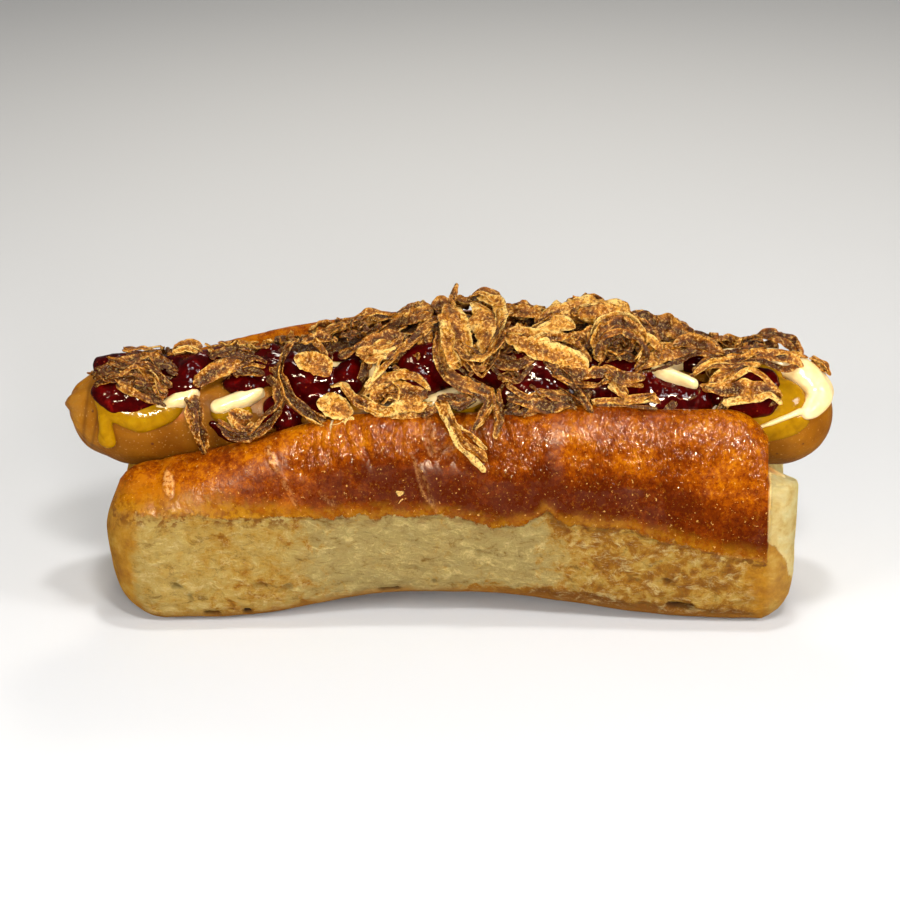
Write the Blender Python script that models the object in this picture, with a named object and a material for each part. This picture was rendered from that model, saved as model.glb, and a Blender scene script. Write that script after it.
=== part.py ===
"""A hot dog: a soft split bun, a sausage, three sauces and a heap of fried onions.

The bun lies along X with its cut open to the top. -Y is its front half, +Y its back half.
Sizes are in metres and angles in degrees. The origin is under the middle, on the table.
"""

import math

import bmesh
import bpy
import numpy as np

# Sausage: a straight run with a rounded end on each side, lying in the cut
SAUSAGE_LENGTH = 0.181
SAUSAGE_RADIUS = 0.0126
SAUSAGE_END = 0.0135  # length of each rounded end
AXIS_HEIGHT = 0.0455
AXIS_BOW = 0.0010  # the middle lies this much higher than the ends
TIP_LIFT = 0.0045  # the twisted left tip curls up by this much
TIP_LIFT_START = -0.070

# Bun: a rounded box with a cut along its top
BUN_LENGTH = 0.163
BUN_WIDTH = 0.052
BUN_WAIST = 0.0025  # the front half is drawn in this much at the middle
BUN_END = 0.0075  # how far each end bulges past the last full section
ARCH = 0.0058  # the underside stands this far clear of the table at the middle
WIDEST_AT = 0.021  # height of the widest line above the underside
CORNER_DEPTH = 0.012  # of the rounded edge between side and underside
SHOULDER_POWER = 2.3
CORNER_POWER = 2.9
RIM_WIDTH = 0.0036  # from the wall of the cut out to the top of the lip
RIM_DEPTH = 0.0042
CORNER_RADIUS = 0.011  # of a lip where it runs down to the end
LOWEST_LIP = 0.0055  # the least height of a lip above the bottom of the cut

GAP = 0.0004  # left between pieces that touch
LAYER_GAP = 0.0006  # left between one topping and the next
CUT_RADIUS = SAUSAGE_RADIUS + GAP

# Mesh fineness
SECTION_POINTS = 21  # along the outside of a bun section, and along its inside
BUN_STATIONS = 23
END_STATIONS = 4
SAUSAGE_POINTS = 30
BAND_POINTS = 9  # across a band
DRIP_STATIONS = np.linspace(-0.0835, -0.0755, 9)
BAND_STEP = 0.0040
WELD = 2e-5  # points nearer than this become one


def ramp(x, start, end):
    """0 before start, 1 after end, and a smooth S between."""
    t = np.clip((x - start) / (end - start), 0.0, 1.0)
    return t * t * (3 - 2 * t)


def hump(x, middle, width):
    """A smooth bump of height 1."""
    return np.exp(-(((x - middle) / width) ** 2))


def swing(x, trough, wavelength):
    """A wave from -1 at trough to 1 half a wavelength on."""
    return -np.cos(2 * math.pi * (x - trough) / wavelength)


# ---------------------------------------------------------------- sausage


def axis_height(x):
    """Height of the sausage's axis."""
    bow = AXIS_BOW * (1 - (2 * x / SAUSAGE_LENGTH) ** 2)
    past = np.clip((TIP_LIFT_START - x) / (SAUSAGE_LENGTH / 2 + TIP_LIFT_START), 0, None)
    return AXIS_HEIGHT + bow + TIP_LIFT * past**2


def on_sausage(along, angle, height):
    """Points a given height off the casing.

    along is measured on the casing, from the middle. angle turns from straight up
    towards the back.
    """
    straight = SAUSAGE_LENGTH / 2 - SAUSAGE_END
    turn = np.clip((np.abs(along) - straight) / SAUSAGE_RADIUS, 0, math.radians(84))
    x = np.clip(along, -straight, straight) + np.sign(along) * SAUSAGE_END * np.sin(turn)
    out = np.sign(along) * np.sin(turn) / SAUSAGE_END
    up = np.cos(turn) / SAUSAGE_RADIUS
    length = np.hypot(out, up)
    radius = SAUSAGE_RADIUS * np.cos(turn) + height * up / length
    x = x + height * out / length
    a = np.radians(angle)
    return np.stack([x, radius * np.sin(a), axis_height(x) + radius * np.cos(a)], axis=-1)


# ---------------------------------------------------------------- bun


def underside(x):
    """The bun stands on a pad at each end and arches clear between them."""
    return ARCH * ramp(x, -0.055, -0.010) * (1 - ramp(x, 0.004, 0.064))


def rounded_down(x, end):
    """How far a lip has dropped where it rounds down to the bun's end."""
    past = np.clip(np.abs(x) - (end - CORNER_RADIUS), 0, CORNER_RADIUS * 0.999)
    return CORNER_RADIUS - np.sqrt(CORNER_RADIUS**2 - past**2)


def lip_height(x, side):
    """Top of the front lip (side -1), which sags to the left, or of the back lip (side 1)."""
    end = BUN_LENGTH / 2 - BUN_END + 0.001
    if side < 0:
        height = 0.0385 + 0.0137 * ramp(x, -0.076, -0.016) + 0.0023 * ramp(x, 0.010, 0.040)
    else:
        height = 0.0655 - 0.0070 * ((x - 0.006) / 0.057) ** 2
    return max(height - rounded_down(x, end), axis_height(x) - CUT_RADIUS + LOWEST_LIP)


def even(points, count):
    """The line through points, as count points evenly spaced along it."""
    points = np.asarray(points)
    run = np.append(0, np.cumsum(np.linalg.norm(np.diff(points, axis=0), axis=1)))
    at = np.linspace(0, run[-1], count)
    return np.stack([np.interp(at, run, points[:, k]) for k in (0, 1)], axis=1)


def quarter(power, steps=12):
    """Cosine and sine sides of a superellipse's quarter, from its side to its top."""
    a = np.linspace(0, math.pi / 2, steps)
    return np.cos(a) ** (2 / power), np.sin(a) ** (2 / power)


def half_section(x, side):
    """Outer and inner outline of one half, from the lip to the middle, as (y, z)."""
    base, lip, axis = underside(x), lip_height(x, side), axis_height(x)
    widest = base + WIDEST_AT
    half_width = BUN_WIDTH / 2
    if side < 0:
        half_width -= BUN_WAIST * hump(x, -0.005, 0.045)
    wall_top = lip - RIM_DEPTH
    below = min(wall_top - axis, 0.0)
    wall = math.sqrt(CUT_RADIUS**2 - below**2)
    rim = wall + RIM_WIDTH

    c, s = quarter(SHOULDER_POWER)
    shoulder = np.stack([rim + (half_width - rim) * c, widest + (lip - widest) * s], 1)
    c, s = quarter(CORNER_POWER)
    foot = half_width - CORNER_DEPTH
    corner = np.stack([foot + CORNER_DEPTH * c, widest - WIDEST_AT * s], 1)
    outer = np.concatenate([shoulder[::-1], corner[1:], [[0.0, base]]])

    c, s = quarter(2.0, 7)
    edge = np.stack([rim - RIM_WIDTH * s, wall_top + RIM_DEPTH * c], 1)
    start = math.atan2(wall, -below) if below < 0 else math.pi / 2
    a = np.linspace(start, 0.0, 14)
    cradle = np.stack([CUT_RADIUS * np.sin(a), axis - CUT_RADIUS * np.cos(a)], 1)
    inner = np.concatenate([edge, cradle])
    return outer * [side, 1], inner * [side, 1]


def outside_cut(points, axis):
    """Points moved straight out from the sausage's axis where they come nearer than the cut."""
    offset = points - [0.0, axis]
    distance = np.linalg.norm(offset, axis=1, keepdims=True)
    return [0.0, axis] + offset * np.maximum(CUT_RADIUS / distance, 1.0)


def bun_section(x):
    """(loop, core): the section's closed outline, and the midline that each point shrinks to."""
    near_out, near_in = half_section(x, -1)
    far_out, far_in = half_section(x, 1)
    sides = [np.concatenate(pair) for pair in ((near_out, far_out[-2::-1]), (near_in, far_in[-2::-1]))]
    outer, inner = (outside_cut(even(side, SECTION_POINTS), axis_height(x)) for side in sides)
    ends = 2
    middle = (outer + inner) / 2
    middle[:ends] = middle[ends]
    middle[-ends:] = middle[-ends - 1]
    loop = np.concatenate([outer, inner[-2:0:-1]])
    core = np.concatenate([middle, middle[-2:0:-1]])
    return loop, core


def bun_rings():
    """Rings along the bun. At each end they shrink to the section's midline and bulge out."""
    reach = BUN_LENGTH / 2 - BUN_END
    rings = []
    for x in reach * np.sin(np.linspace(-math.pi / 2, math.pi / 2, BUN_STATIONS)):
        loop, _ = bun_section(x)
        rings.append(np.insert(loop, 0, x, axis=1))
    caps = {}
    for side in (-1, 1):
        loop, core = bun_section(side * reach)
        caps[side] = []
        for a in np.linspace(0, math.pi / 2, END_STATIONS + 1)[1:]:
            share = 1 - math.cos(a)
            ring = (1 - share) * loop + share * core
            caps[side].append(np.insert(ring, 0, side * (reach + BUN_END * math.sin(a)), axis=1))
    return np.array(caps[-1][::-1] + rings + caps[1])


# ---------------------------------------------------------------- toppings
# Each topping is a band laid along the sausage. Its two edges are angles that change along
# it, its thickness swells and thins, and it rides over the bands before it.


def mustard_edges(u):
    """Scallops along the front, one drip off the left end, and all of the right end."""
    between_lips = ramp(u, -0.052, -0.038) * (1 - ramp(u, 0.056, 0.070))
    near = -66 + 12 * swing(u, -0.070, 0.0165) * (1 - between_lips) + 18 * between_lips
    near = near - 44 * hump(u, -0.0795, 0.0024) - 16 * hump(u, 0.079, 0.009)
    far = -36 + 52 * ramp(u, 0.060, 0.078)
    return near, far


def mustard_thickness(u):
    return 0.0015 + 0.0003 * swing(u, -0.060, 0.011) + 0.0007 * ramp(u, 0.060, 0.074)


def mayonnaise_edges(u):
    """A wavy line along the front that crosses to the back at the right end."""
    near = -50 + 6 * swing(u, -0.052, 0.0190) + 26 * ramp(u, 0.058, 0.078)
    near = near - 22 * hump(u, 0.093, 0.008)
    far = -33 + 5 * swing(u, -0.047, 0.0190) + 75 * ramp(u, 0.058, 0.078)
    return near, far


def mayonnaise_thickness(u):
    return 0.0016 + 0.0003 * swing(u, -0.052, 0.0190)


def ketchup_edges(u):
    """Thick pools on the top of the sausage, three of them running down to the front lip."""
    near = -34 + 6 * swing(u, -0.076, 0.026) - 14 * hump(u, -0.034, 0.008)
    near = near - 12 * hump(u, 0.022, 0.011) - 12 * hump(u, 0.052, 0.010)
    far = 34 + 5 * swing(u, -0.060, 0.031)
    return near, far


def ketchup_thickness(u):
    return 0.0021 + 0.0004 * swing(u, -0.076, 0.021)


def onion_edges(u):
    near = -26 + 10 * swing(u, -0.050, 0.023) + 5 * swing(u, 0.0, 0.0105)
    near = near - 8 * hump(u, 0.004, 0.012) + 8 * ramp(u, 0.050, 0.070)
    far = 46 - 8 * ramp(np.abs(u), 0.050, 0.075)
    return near, far


def onion_thickness(u):
    """The heap's uneven top line: a thin scatter at the ends and a pile on the middle."""
    heap = 0.0016 + 0.0004 * swing(u, -0.070, 0.019)
    heap = heap + 0.0062 * ramp(u, -0.060, -0.006) * (1 - ramp(u, 0.030, 0.066))
    heap = heap + 0.0030 * hump(u, 0.006, 0.009) + 0.0038 * hump(u, 0.034, 0.009)
    return heap + 0.0012 * hump(u, 0.072, 0.006)


# name: (first and last place along the casing, edges, thickness, roughness of the top)
BANDS = {
    "mustard": (-0.0850, 0.0880, mustard_edges, mustard_thickness, 0.0),
    "mayonnaise": (-0.0700, 0.0940, mayonnaise_edges, mayonnaise_thickness, 0.0),
    "ketchup": (-0.0850, 0.0740, ketchup_edges, ketchup_thickness, 0.08),
    "fried_onions": (-0.0800, 0.0780, onion_edges, onion_thickness, 0.16),
}
SKIRT = 0.0038  # an upper band comes down this gently past a lower band's edge
END_ROUNDING = 0.0050
BLUNT = 0.25  # a band's end is this share of its full width and thickness


def end_taper(u, first, last):
    """1 along a band, falling to 0 round each end like a quarter circle."""
    inside = np.clip(np.minimum(u - first, last - u) / END_ROUNDING, 0, 1)
    return np.sqrt(1 - (1 - inside) ** 2)


def lift_over(name, u, angle):
    """How much the band called name raises whatever lies over it at (u, angle)."""
    first, last, edges, thickness, rough = BANDS[name]
    near, far = edges(np.clip(u, first, last))
    outside = np.radians(np.maximum(near - angle, angle - far)) * SAUSAGE_RADIUS
    outside = np.maximum(outside, np.maximum(first - u, u - last))
    return thickness(u) * (1 + rough) * (1 - ramp(outside, 0.0, SKIRT))


def clear_of_walls(height, angle):
    """height, held back to where the walls of the cut stand beside the heap."""
    side = np.abs(np.sin(np.radians(angle)))
    room = (CUT_RADIUS - GAP) / np.maximum(side, 0.05) - SAUSAGE_RADIUS
    return np.minimum(height, np.maximum(room, 0.0012))


def stations(first, last, below):
    """Places along a band, with more of them where it or a band below it ends."""
    u = np.linspace(first, last, round((last - first) / BAND_STEP) + 1)
    bends = [first + 0.0006, first + 0.0020, last - 0.0020, last - 0.0006]
    for start, end, *_ in (BANDS[b] for b in below):
        bends += [start - SKIRT / 2, start + 0.0010, end - 0.0010, end + SKIRT / 2]
    u = np.sort(np.concatenate([u, bends]))
    return u[(u >= first) & (u <= last)]


def band_rings(name):
    """Rings across a band: over its top from the front edge to the back one, then under it."""
    first, last, edges, thickness, rough = BANDS[name]
    below = list(BANDS)[: list(BANDS).index(name)]
    u = stations(first, last, below)
    if name == "mustard":
        u = np.unique(np.concatenate([u, DRIP_STATIONS]))
    taper = end_taper(u, first, last)[:, None]
    near, far = (edge[:, None] for edge in edges(u))
    middle, half = (near + far) / 2, (far - near) / 2 * np.maximum(taper, BLUNT)

    across = -np.cos(np.linspace(0, math.pi, BAND_POINTS))[None, :]
    under = np.linspace(1, -1, BAND_POINTS)[None, 1:-1]
    rounding = np.sqrt(1 - across**4)
    lumps = 1 + rough * np.sin(across * 7 + u[:, None] * 610) * np.cos(u[:, None] * 290)
    top = thickness(u)[:, None] * np.maximum(taper, BLUNT) * rounding * lumps

    def surface(side_across, height):
        angle = middle + half * side_across
        rest = GAP + LAYER_GAP * len(below) + sum(lift_over(b, u[:, None], angle) for b in below)
        total = np.maximum(clear_of_walls(rest + height, angle), rest + height * 0.15)
        return on_sausage(np.broadcast_to(u[:, None], angle.shape), angle, total)

    return np.concatenate([surface(across, top), surface(under, 0.0)], axis=1)


# ---------------------------------------------------------------- building


def make_material(name, colour, roughness):
    material = bpy.data.materials.new(name)
    material.use_nodes = True
    shader = material.node_tree.nodes["Principled BSDF"]
    shader.inputs["Base Color"].default_value = (*colour, 1.0)
    shader.inputs["Roughness"].default_value = roughness
    shader.inputs["Metallic"].default_value = 0.0
    return material


def finish(obj, collection, material):
    obj.data.materials.append(material)
    collection.objects.link(obj)


def skin(name, rings, collection, material):
    """A closed mesh over rings of points. The first and last ring are closed by a face or,
    where a ring has shrunk to a line, by welding it shut."""
    index = np.arange(rings.shape[0] * rings.shape[1]).reshape(rings.shape[:2])
    here, there = index[:-1], index[1:]
    quads = [here, there, np.roll(there, -1, axis=1), np.roll(here, -1, axis=1)]
    mesh = bpy.data.meshes.new(name)
    faces = np.stack(quads, axis=-1).reshape(-1, 4).tolist()
    mesh.from_pydata(rings.reshape(-1, 3).tolist(), [], faces)
    bm = bmesh.new()
    bm.from_mesh(mesh)
    bmesh.ops.remove_doubles(bm, verts=bm.verts, dist=WELD)
    bmesh.ops.dissolve_degenerate(bm, edges=bm.edges, dist=WELD)
    bmesh.ops.holes_fill(bm, edges=[e for e in bm.edges if e.is_boundary], sides=0)
    bmesh.ops.recalc_face_normals(bm, faces=bm.faces)
    bmesh.ops.triangulate(bm, faces=bm.faces)
    bm.to_mesh(mesh)
    bm.free()
    mesh.shade_smooth()
    finish(bpy.data.objects.new(name, mesh), collection, material)


def make_sausage(collection, material):
    """A curve along the axis with a round bevel, thinner towards its two ends."""
    curve = bpy.data.curves.new("sausage", "CURVE")
    curve.dimensions = "3D"
    curve.bevel_depth = SAUSAGE_RADIUS
    curve.bevel_resolution = 5
    curve.use_fill_caps = True
    reach = SAUSAGE_LENGTH / 2
    x = reach * np.sin(np.linspace(-math.pi / 2, math.pi / 2, SAUSAGE_POINTS))
    past = np.clip((np.abs(x) - (reach - SAUSAGE_END)) / SAUSAGE_END, 0, 0.999)
    spline = curve.splines.new("POLY")
    spline.points.add(SAUSAGE_POINTS - 1)
    for point, place, share in zip(spline.points, x, np.sqrt(1 - past**2)):
        point.co = (place, 0.0, axis_height(place), 1.0)
        point.radius = share
    finish(bpy.data.objects.new("sausage", curve), collection, material)


def main():
    for obj in list(bpy.data.objects):
        bpy.data.objects.remove(obj)
    parts = bpy.data.collections.new("hot_dog")
    bpy.context.scene.collection.children.link(parts)

    skin("bun", bun_rings(), parts, make_material("crust", (0.42, 0.17, 0.04), 0.35))
    make_sausage(parts, make_material("casing", (0.45, 0.20, 0.06), 0.35))
    colours = {
        "mustard": ((0.62, 0.39, 0.02), 0.30),
        "mayonnaise": ((0.88, 0.80, 0.50), 0.30),
        "ketchup": ((0.22, 0.006, 0.004), 0.12),
        "fried_onions": ((0.42, 0.21, 0.06), 0.65),
    }
    for name, (colour, roughness) in colours.items():
        skin(name, band_rings(name), parts, make_material(name, colour, roughness))


main()
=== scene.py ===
import math

import bmesh
import bpy
import numpy as np
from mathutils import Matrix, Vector


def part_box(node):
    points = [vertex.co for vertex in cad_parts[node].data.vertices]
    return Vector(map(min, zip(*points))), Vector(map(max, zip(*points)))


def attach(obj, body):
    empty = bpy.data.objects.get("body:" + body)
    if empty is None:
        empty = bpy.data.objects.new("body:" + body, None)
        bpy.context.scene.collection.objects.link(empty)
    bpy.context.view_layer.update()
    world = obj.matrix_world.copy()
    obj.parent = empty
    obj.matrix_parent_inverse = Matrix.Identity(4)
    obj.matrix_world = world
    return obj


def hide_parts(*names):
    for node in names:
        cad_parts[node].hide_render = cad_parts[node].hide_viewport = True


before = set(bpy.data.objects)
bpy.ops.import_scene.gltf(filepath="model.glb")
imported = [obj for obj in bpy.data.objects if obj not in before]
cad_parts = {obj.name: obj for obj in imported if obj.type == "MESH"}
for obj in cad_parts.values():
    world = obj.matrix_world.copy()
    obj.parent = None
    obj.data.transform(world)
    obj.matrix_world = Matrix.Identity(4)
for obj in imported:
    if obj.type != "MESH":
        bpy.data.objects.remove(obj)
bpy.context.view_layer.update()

# A hot dog in a soft split bun. X runs along it, -Y is its front and Z is up, in metres.

BUN_LOW, BUN_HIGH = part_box("bun")
SAUSAGE_LOW, SAUSAGE_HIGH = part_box("sausage")

# Sausage
SAUSAGE_LENGTH = SAUSAGE_HIGH.x - SAUSAGE_LOW.x
SAUSAGE_RADIUS = (SAUSAGE_HIGH.y - SAUSAGE_LOW.y) / 2
SAUSAGE_END = 0.0135  # length of each rounded end
SAUSAGE_RINGS, SAUSAGE_ROUND = 300, 96
AXIS_HEIGHT = 0.0455
AXIS_BOW = 0.0010
TIP_LIFT = 0.0045  # the left tip is lifted, from TIP_LIFT_START on
TIP_LIFT_START = -0.070
TIP_TURN = math.radians(84)  # toppings follow the casing this far round its end

# Bun
BUN_LENGTH = BUN_HIGH.x - BUN_LOW.x
BUN_HALF_WIDTH = BUN_HIGH.y
BUN_WAIST = 0.0025
BUN_END = 0.0075
ARCH = 0.0058  # rise of the underside between its two pads
WIDEST_AT = 0.021  # height over the underside
CORNER_DEPTH = 0.012
SHOULDER_POWER = 2.3
CORNER_POWER = 2.9
RIM_WIDTH = 0.0036
RIM_DEPTH = 0.0042
CORNER_RADIUS = 0.011
LOWEST_LIP = 0.0055  # least height of a lip over the bottom of the cut
CLEARANCE = 0.0004  # between the casing and what lies against it
CUT_RADIUS = SAUSAGE_RADIUS + CLEARANCE
REACH = BUN_LENGTH / 2 - BUN_END  # last full section at the right
LEFT_END = 0.0135  # the left end is rounder
LEFT_REACH = BUN_LENGTH / 2 - LEFT_END


# ---------------------------------------------------------------- arithmetic of shapes


def ramp(x, start, end):
    """0 before start, 1 after end, and a smooth S between."""
    t = np.clip((x - start) / (end - start), 0.0, 1.0)
    return t * t * (3 - 2 * t)


def hump(x, middle, width):
    """A smooth bump of height 1."""
    return np.exp(-(((x - middle) / width) ** 2))


def between(x, start, end, soft):
    """1 from start to end, falling to 0 over soft outside them."""
    return ramp(x, start - soft, start) * (1 - ramp(x, end, end + soft))


def lattice(cells, seed):
    """A fixed random number from 0 to 1 for each whole-numbered cell: its three numbers are
    multiplied by large primes and their bits are mixed."""
    k = cells.astype(np.int64).astype(np.uint32)
    h = k[..., 0] * np.uint32(73856093) ^ k[..., 1] * np.uint32(19349663)
    h = h ^ k[..., 2] * np.uint32(83492791) ^ np.uint32(seed * 2654435761 % 2**32)
    for shift, factor in ((15, 0x2C1B3C6D), (12, 0x297A2D39)):
        h = (h ^ (h >> np.uint32(shift))) * np.uint32(factor)
    return ((h ^ (h >> np.uint32(15))) & np.uint32(0xFFFFFF)) / float(0xFFFFFF)


def noise(points, size, seed):
    """Smooth random relief from -1 to 1 whose lumps are size across: the numbers at the eight
    corners of each cell, blended along each axis by an S curve. size may be one per axis."""
    p = points / np.asarray(size, float)
    cell = np.floor(p)
    t = p - cell
    t = t * t * (3 - 2 * t)
    total = 0.0
    for corner in np.ndindex(2, 2, 2):
        weight = np.prod(np.where(corner, t, 1 - t), axis=-1)
        total = total + weight * lattice(cell + corner, seed)
    return total * 2 - 1


def layered(points, size, seed, layers=3):
    """noise at size, and at half the size and half the height, and so on."""
    size = np.asarray(size, float)
    parts = [noise(points, size / 2**k, seed + k) / 2**k for k in range(layers)]
    return sum(parts) / (2 - 0.5 ** (layers - 1))


def ridged(points, size, seed, layers=3):
    """Sharp crests from 0 to 1, where the layered relief passes through nothing."""
    return 1 - np.clip(np.abs(layered(points, size, seed, layers)) * 2.2, 0, 1)


def normals_of(grid):
    """Unit normals of a grid of points closed round its columns: the cross product of its two
    directions."""
    down = np.gradient(grid, axis=0)
    along = (np.roll(grid, -1, axis=1) - np.roll(grid, 1, axis=1)) / 2
    n = np.cross(along, down)
    return n / np.maximum(np.linalg.norm(n, axis=-1, keepdims=True), 1e-12)


# ---------------------------------------------------------------- meshes


def grid_faces(rows, columns, first=0):
    """Four-sided faces over a grid of points, closed round its columns."""
    index = first + np.arange(rows * columns).reshape(rows, columns)
    index = np.concatenate([index, index[:, :1]], axis=1)
    quads = [index[:-1, :-1], index[1:, :-1], index[1:, 1:], index[:-1, 1:]]
    return np.stack(quads, axis=-1).reshape(-1, 4)


def place_piece(mesh, material, node=None):
    """A smooth mesh as a piece of the hot dog, in the place of a node where one is named."""
    mesh.shade_smooth()
    piece = bpy.data.objects.new(mesh.name, mesh)
    bpy.context.scene.collection.objects.link(piece)
    mesh.materials.append(material)
    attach(piece, "root")
    if node:
        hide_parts(node)
    return piece


def make_piece(name, points, faces, material, node=None, caps=(), marks=None, weld=0.0):
    """A mesh piece from points and faces. caps are rows of points closed by one face each,
    and marks are numbers kept at each point for the material."""
    mesh = bpy.data.meshes.new(name)
    polygons = faces.tolist() + [list(map(int, cap)) for cap in caps]
    mesh.from_pydata(points.reshape(-1, 3).tolist(), [], polygons)
    for key, values in (marks or {}).items():
        layer = mesh.attributes.new(key, "FLOAT", "POINT")
        layer.data.foreach_set("value", np.asarray(values, np.float32).reshape(-1))
    bm = bmesh.new()
    bm.from_mesh(mesh)
    if weld:
        bmesh.ops.remove_doubles(bm, verts=bm.verts, dist=weld)
        bmesh.ops.dissolve_degenerate(bm, edges=bm.edges, dist=weld)
    bmesh.ops.triangulate(bm, faces=[f for f in bm.faces if len(f.verts) > 4])
    bmesh.ops.recalc_face_normals(bm, faces=bm.faces)
    bm.to_mesh(mesh)
    bm.free()
    return place_piece(mesh, material, node)


# ---------------------------------------------------------------- materials


class Finish:
    """A material whose colours and relief are patterns of nodes on the object's own place."""

    def __init__(self, name, **constants):
        self.material = bpy.data.materials.new(name)
        self.material.use_nodes = True
        self.tree = self.material.node_tree
        self.shader = self.tree.nodes["Principled BSDF"]
        for socket, value in constants.items():
            self.shader.inputs[socket.replace("_", " ")].default_value = value
        place = self.tree.nodes.new("ShaderNodeTexCoord")
        self.place = place.outputs["Object"]

    def node(self, kind, links=(), **settings):
        """A new node with its settings, each socket joined to a source or set to a value."""
        made = self.tree.nodes.new("ShaderNode" + kind)
        for key, value in settings.items():
            setattr(made, key, value)
        for socket, source in dict(links).items():
            target = made.inputs[socket]
            if isinstance(source, bpy.types.NodeSocket):
                self.tree.links.new(source, target)
            else:
                target.default_value = source
        return made

    def mark(self, key):
        """Numbers kept at the points of the mesh."""
        return self.node("Attribute", attribute_name=key).outputs["Fac"]

    def stretched(self, scale, turn=(0, 0, 0)):
        """The object's own place, turned and stretched."""
        made = self.node("Mapping", {"Vector": self.place, "Scale": scale, "Rotation": turn})
        return made.outputs["Vector"]

    def grain(self, per_metre, detail=3.0, rough=0.5, twist=0.0, place=None):
        """Soft noise from 0 to 1, with so many lumps to the metre."""
        links = {"Vector": place or self.place, "Scale": per_metre, "Detail": detail}
        links |= {"Roughness": rough, "Distortion": twist}
        return self.node("TexNoise", links).outputs["Fac"]

    def uneven(self, *pattern):
        """Grain that swings about nothing."""
        return self.sum(self.grain(*pattern), -0.5)

    def cells(self, per_metre):
        """Distance from the nearest of many scattered points."""
        links = {"Vector": self.place, "Scale": per_metre}
        return self.node("TexVoronoi", links).outputs["Distance"]

    def sum(self, a, b, operation="ADD"):
        return self.node("Math", {0: a, 1: b}, operation=operation).outputs[0]

    def times(self, a, b):
        return self.sum(a, b, "MULTIPLY")

    def step(self, value, start, end, low=0.0, high=1.0):
        """low before start, high after end, smooth between."""
        links = {"Value": value, 1: start, 2: end, 3: low, 4: high}
        made = self.node("MapRange", links, interpolation_type="SMOOTHSTEP")
        return made.outputs[0]

    def mix(self, share, a, b):
        """a where share is 0, b where it is 1."""
        made = self.node("Mix", data_type="RGBA")
        for socket, value in ((0, share), (6, a), (7, b)):
            if isinstance(value, bpy.types.NodeSocket):
                self.tree.links.new(value, made.inputs[socket])
            else:
                made.inputs[socket].default_value = (*value, 1.0) if socket else value
        return made.outputs[2]

    def over(self, colour, tint, share, strength):
        """tint laid over colour where share is high, at most at strength."""
        return self.mix(self.times(share, strength), colour, tint)

    def blend(self, value, *stops):
        """A colour that changes through (place, colour) stops."""
        made = self.node("ValToRGB", {"Fac": value})
        elements = made.color_ramp.elements
        while len(elements) < len(stops):
            elements.new(0.5)
        for element, (place, colour) in zip(elements, stops):
            element.position = place
            element.color = (*colour, 1.0)
        return made.outputs["Color"]

    def bump(self, height, distance, strength=1.0, under=None):
        """Relief of a height over a distance in metres, on top of the relief under it."""
        links = {"Height": height, "Distance": distance, "Strength": strength}
        if under is not None:
            links["Normal"] = under
        return self.node("Bump", links).outputs["Normal"]

    def finish(self, colour=None, roughness=None, normal=None):
        """The material, with its patterns joined to the shader."""
        for socket, source in (("Base Color", colour), ("Roughness", roughness), ("Normal", normal)):
            if source is not None:
                self.tree.links.new(source, self.shader.inputs[socket])
        return self.material


# ---------------------------------------------------------------- sausage's place


def axis_height(x):
    """Height of the sausage's axis."""
    bow = AXIS_BOW * (1 - (2 * x / SAUSAGE_LENGTH) ** 2)
    past = np.clip((TIP_LIFT_START - x) / (SAUSAGE_LENGTH / 2 + TIP_LIFT_START), 0, None)
    return AXIS_HEIGHT + bow + TIP_LIFT * past**2


def on_sausage(along, angle, height):
    """Points a given height off the casing. along is measured on the casing from the middle,
    and angle turns from straight up towards the back, in degrees."""
    straight = SAUSAGE_LENGTH / 2 - SAUSAGE_END
    turn = np.clip((np.abs(along) - straight) / SAUSAGE_RADIUS, 0, TIP_TURN)
    x = np.clip(along, -straight, straight) + np.sign(along) * SAUSAGE_END * np.sin(turn)
    out = np.sign(along) * np.sin(turn) / SAUSAGE_END
    up = np.cos(turn) / SAUSAGE_RADIUS
    length = np.hypot(out, up)
    radius = SAUSAGE_RADIUS * np.cos(turn) + height * up / length
    x = x + height * out / length
    a = np.radians(angle)
    return np.stack([x, radius * np.sin(a), axis_height(x) + radius * np.cos(a)], axis=-1)


# ---------------------------------------------------------------- bun

STATIONS = 352
SHOULDER_ROWS, CORNER_ROWS, FLAT_ROWS = 62, 44, 7
BACK_SHOULDER_ROWS, BACK_CORNER_ROWS = 44, 24
RIM_ROWS, CRADLE_ROWS = 9, 12
END_RINGS = 20
SLIT = 0.97  # an end's last ring has shrunk this far to the middle of the wall
WALL_STEPS = 240
# Ends of the bun: side, share of a firm edge, reach, length, and how far short of each lip the
# middle of the wall stops
ENDS = ((-1, 0.0, LEFT_REACH, LEFT_END, 0.085), (1, 0.85, REACH, BUN_END, 0.02))


def underside(x):
    """The bun stands on a pad at each end and arches clear between them."""
    return ARCH * ramp(x, -0.055, -0.010) * (1 - ramp(x, 0.004, 0.064))


def lip_height(x, side):
    """Top of the front lip (side -1), which sags to the left, or of the back lip (side 1)."""
    end = REACH + 0.001
    if side < 0:
        height = 0.0385 + 0.0137 * ramp(x, -0.076, -0.016) + 0.0023 * ramp(x, 0.010, 0.040)
        height = height - 0.0016 * ramp(x, 0.034, 0.050)
    else:
        height = 0.0655 - 0.0070 * ((x - 0.006) / 0.057) ** 2
    past = np.clip(np.abs(x) - (end - CORNER_RADIUS), 0, CORNER_RADIUS * 0.999)
    height = height - CORNER_RADIUS + np.sqrt(CORNER_RADIUS**2 - past**2)
    return np.maximum(height, axis_height(x) - CUT_RADIUS + LOWEST_LIP)


def squircle(angle, power):
    """Cosine and sine sides of a superellipse, at even turns of angle."""
    c, s = np.cos(angle), np.sin(angle)
    size = (np.abs(c) ** power + np.abs(s) ** power) ** (1 / power)
    return c / size, s / size


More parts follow.
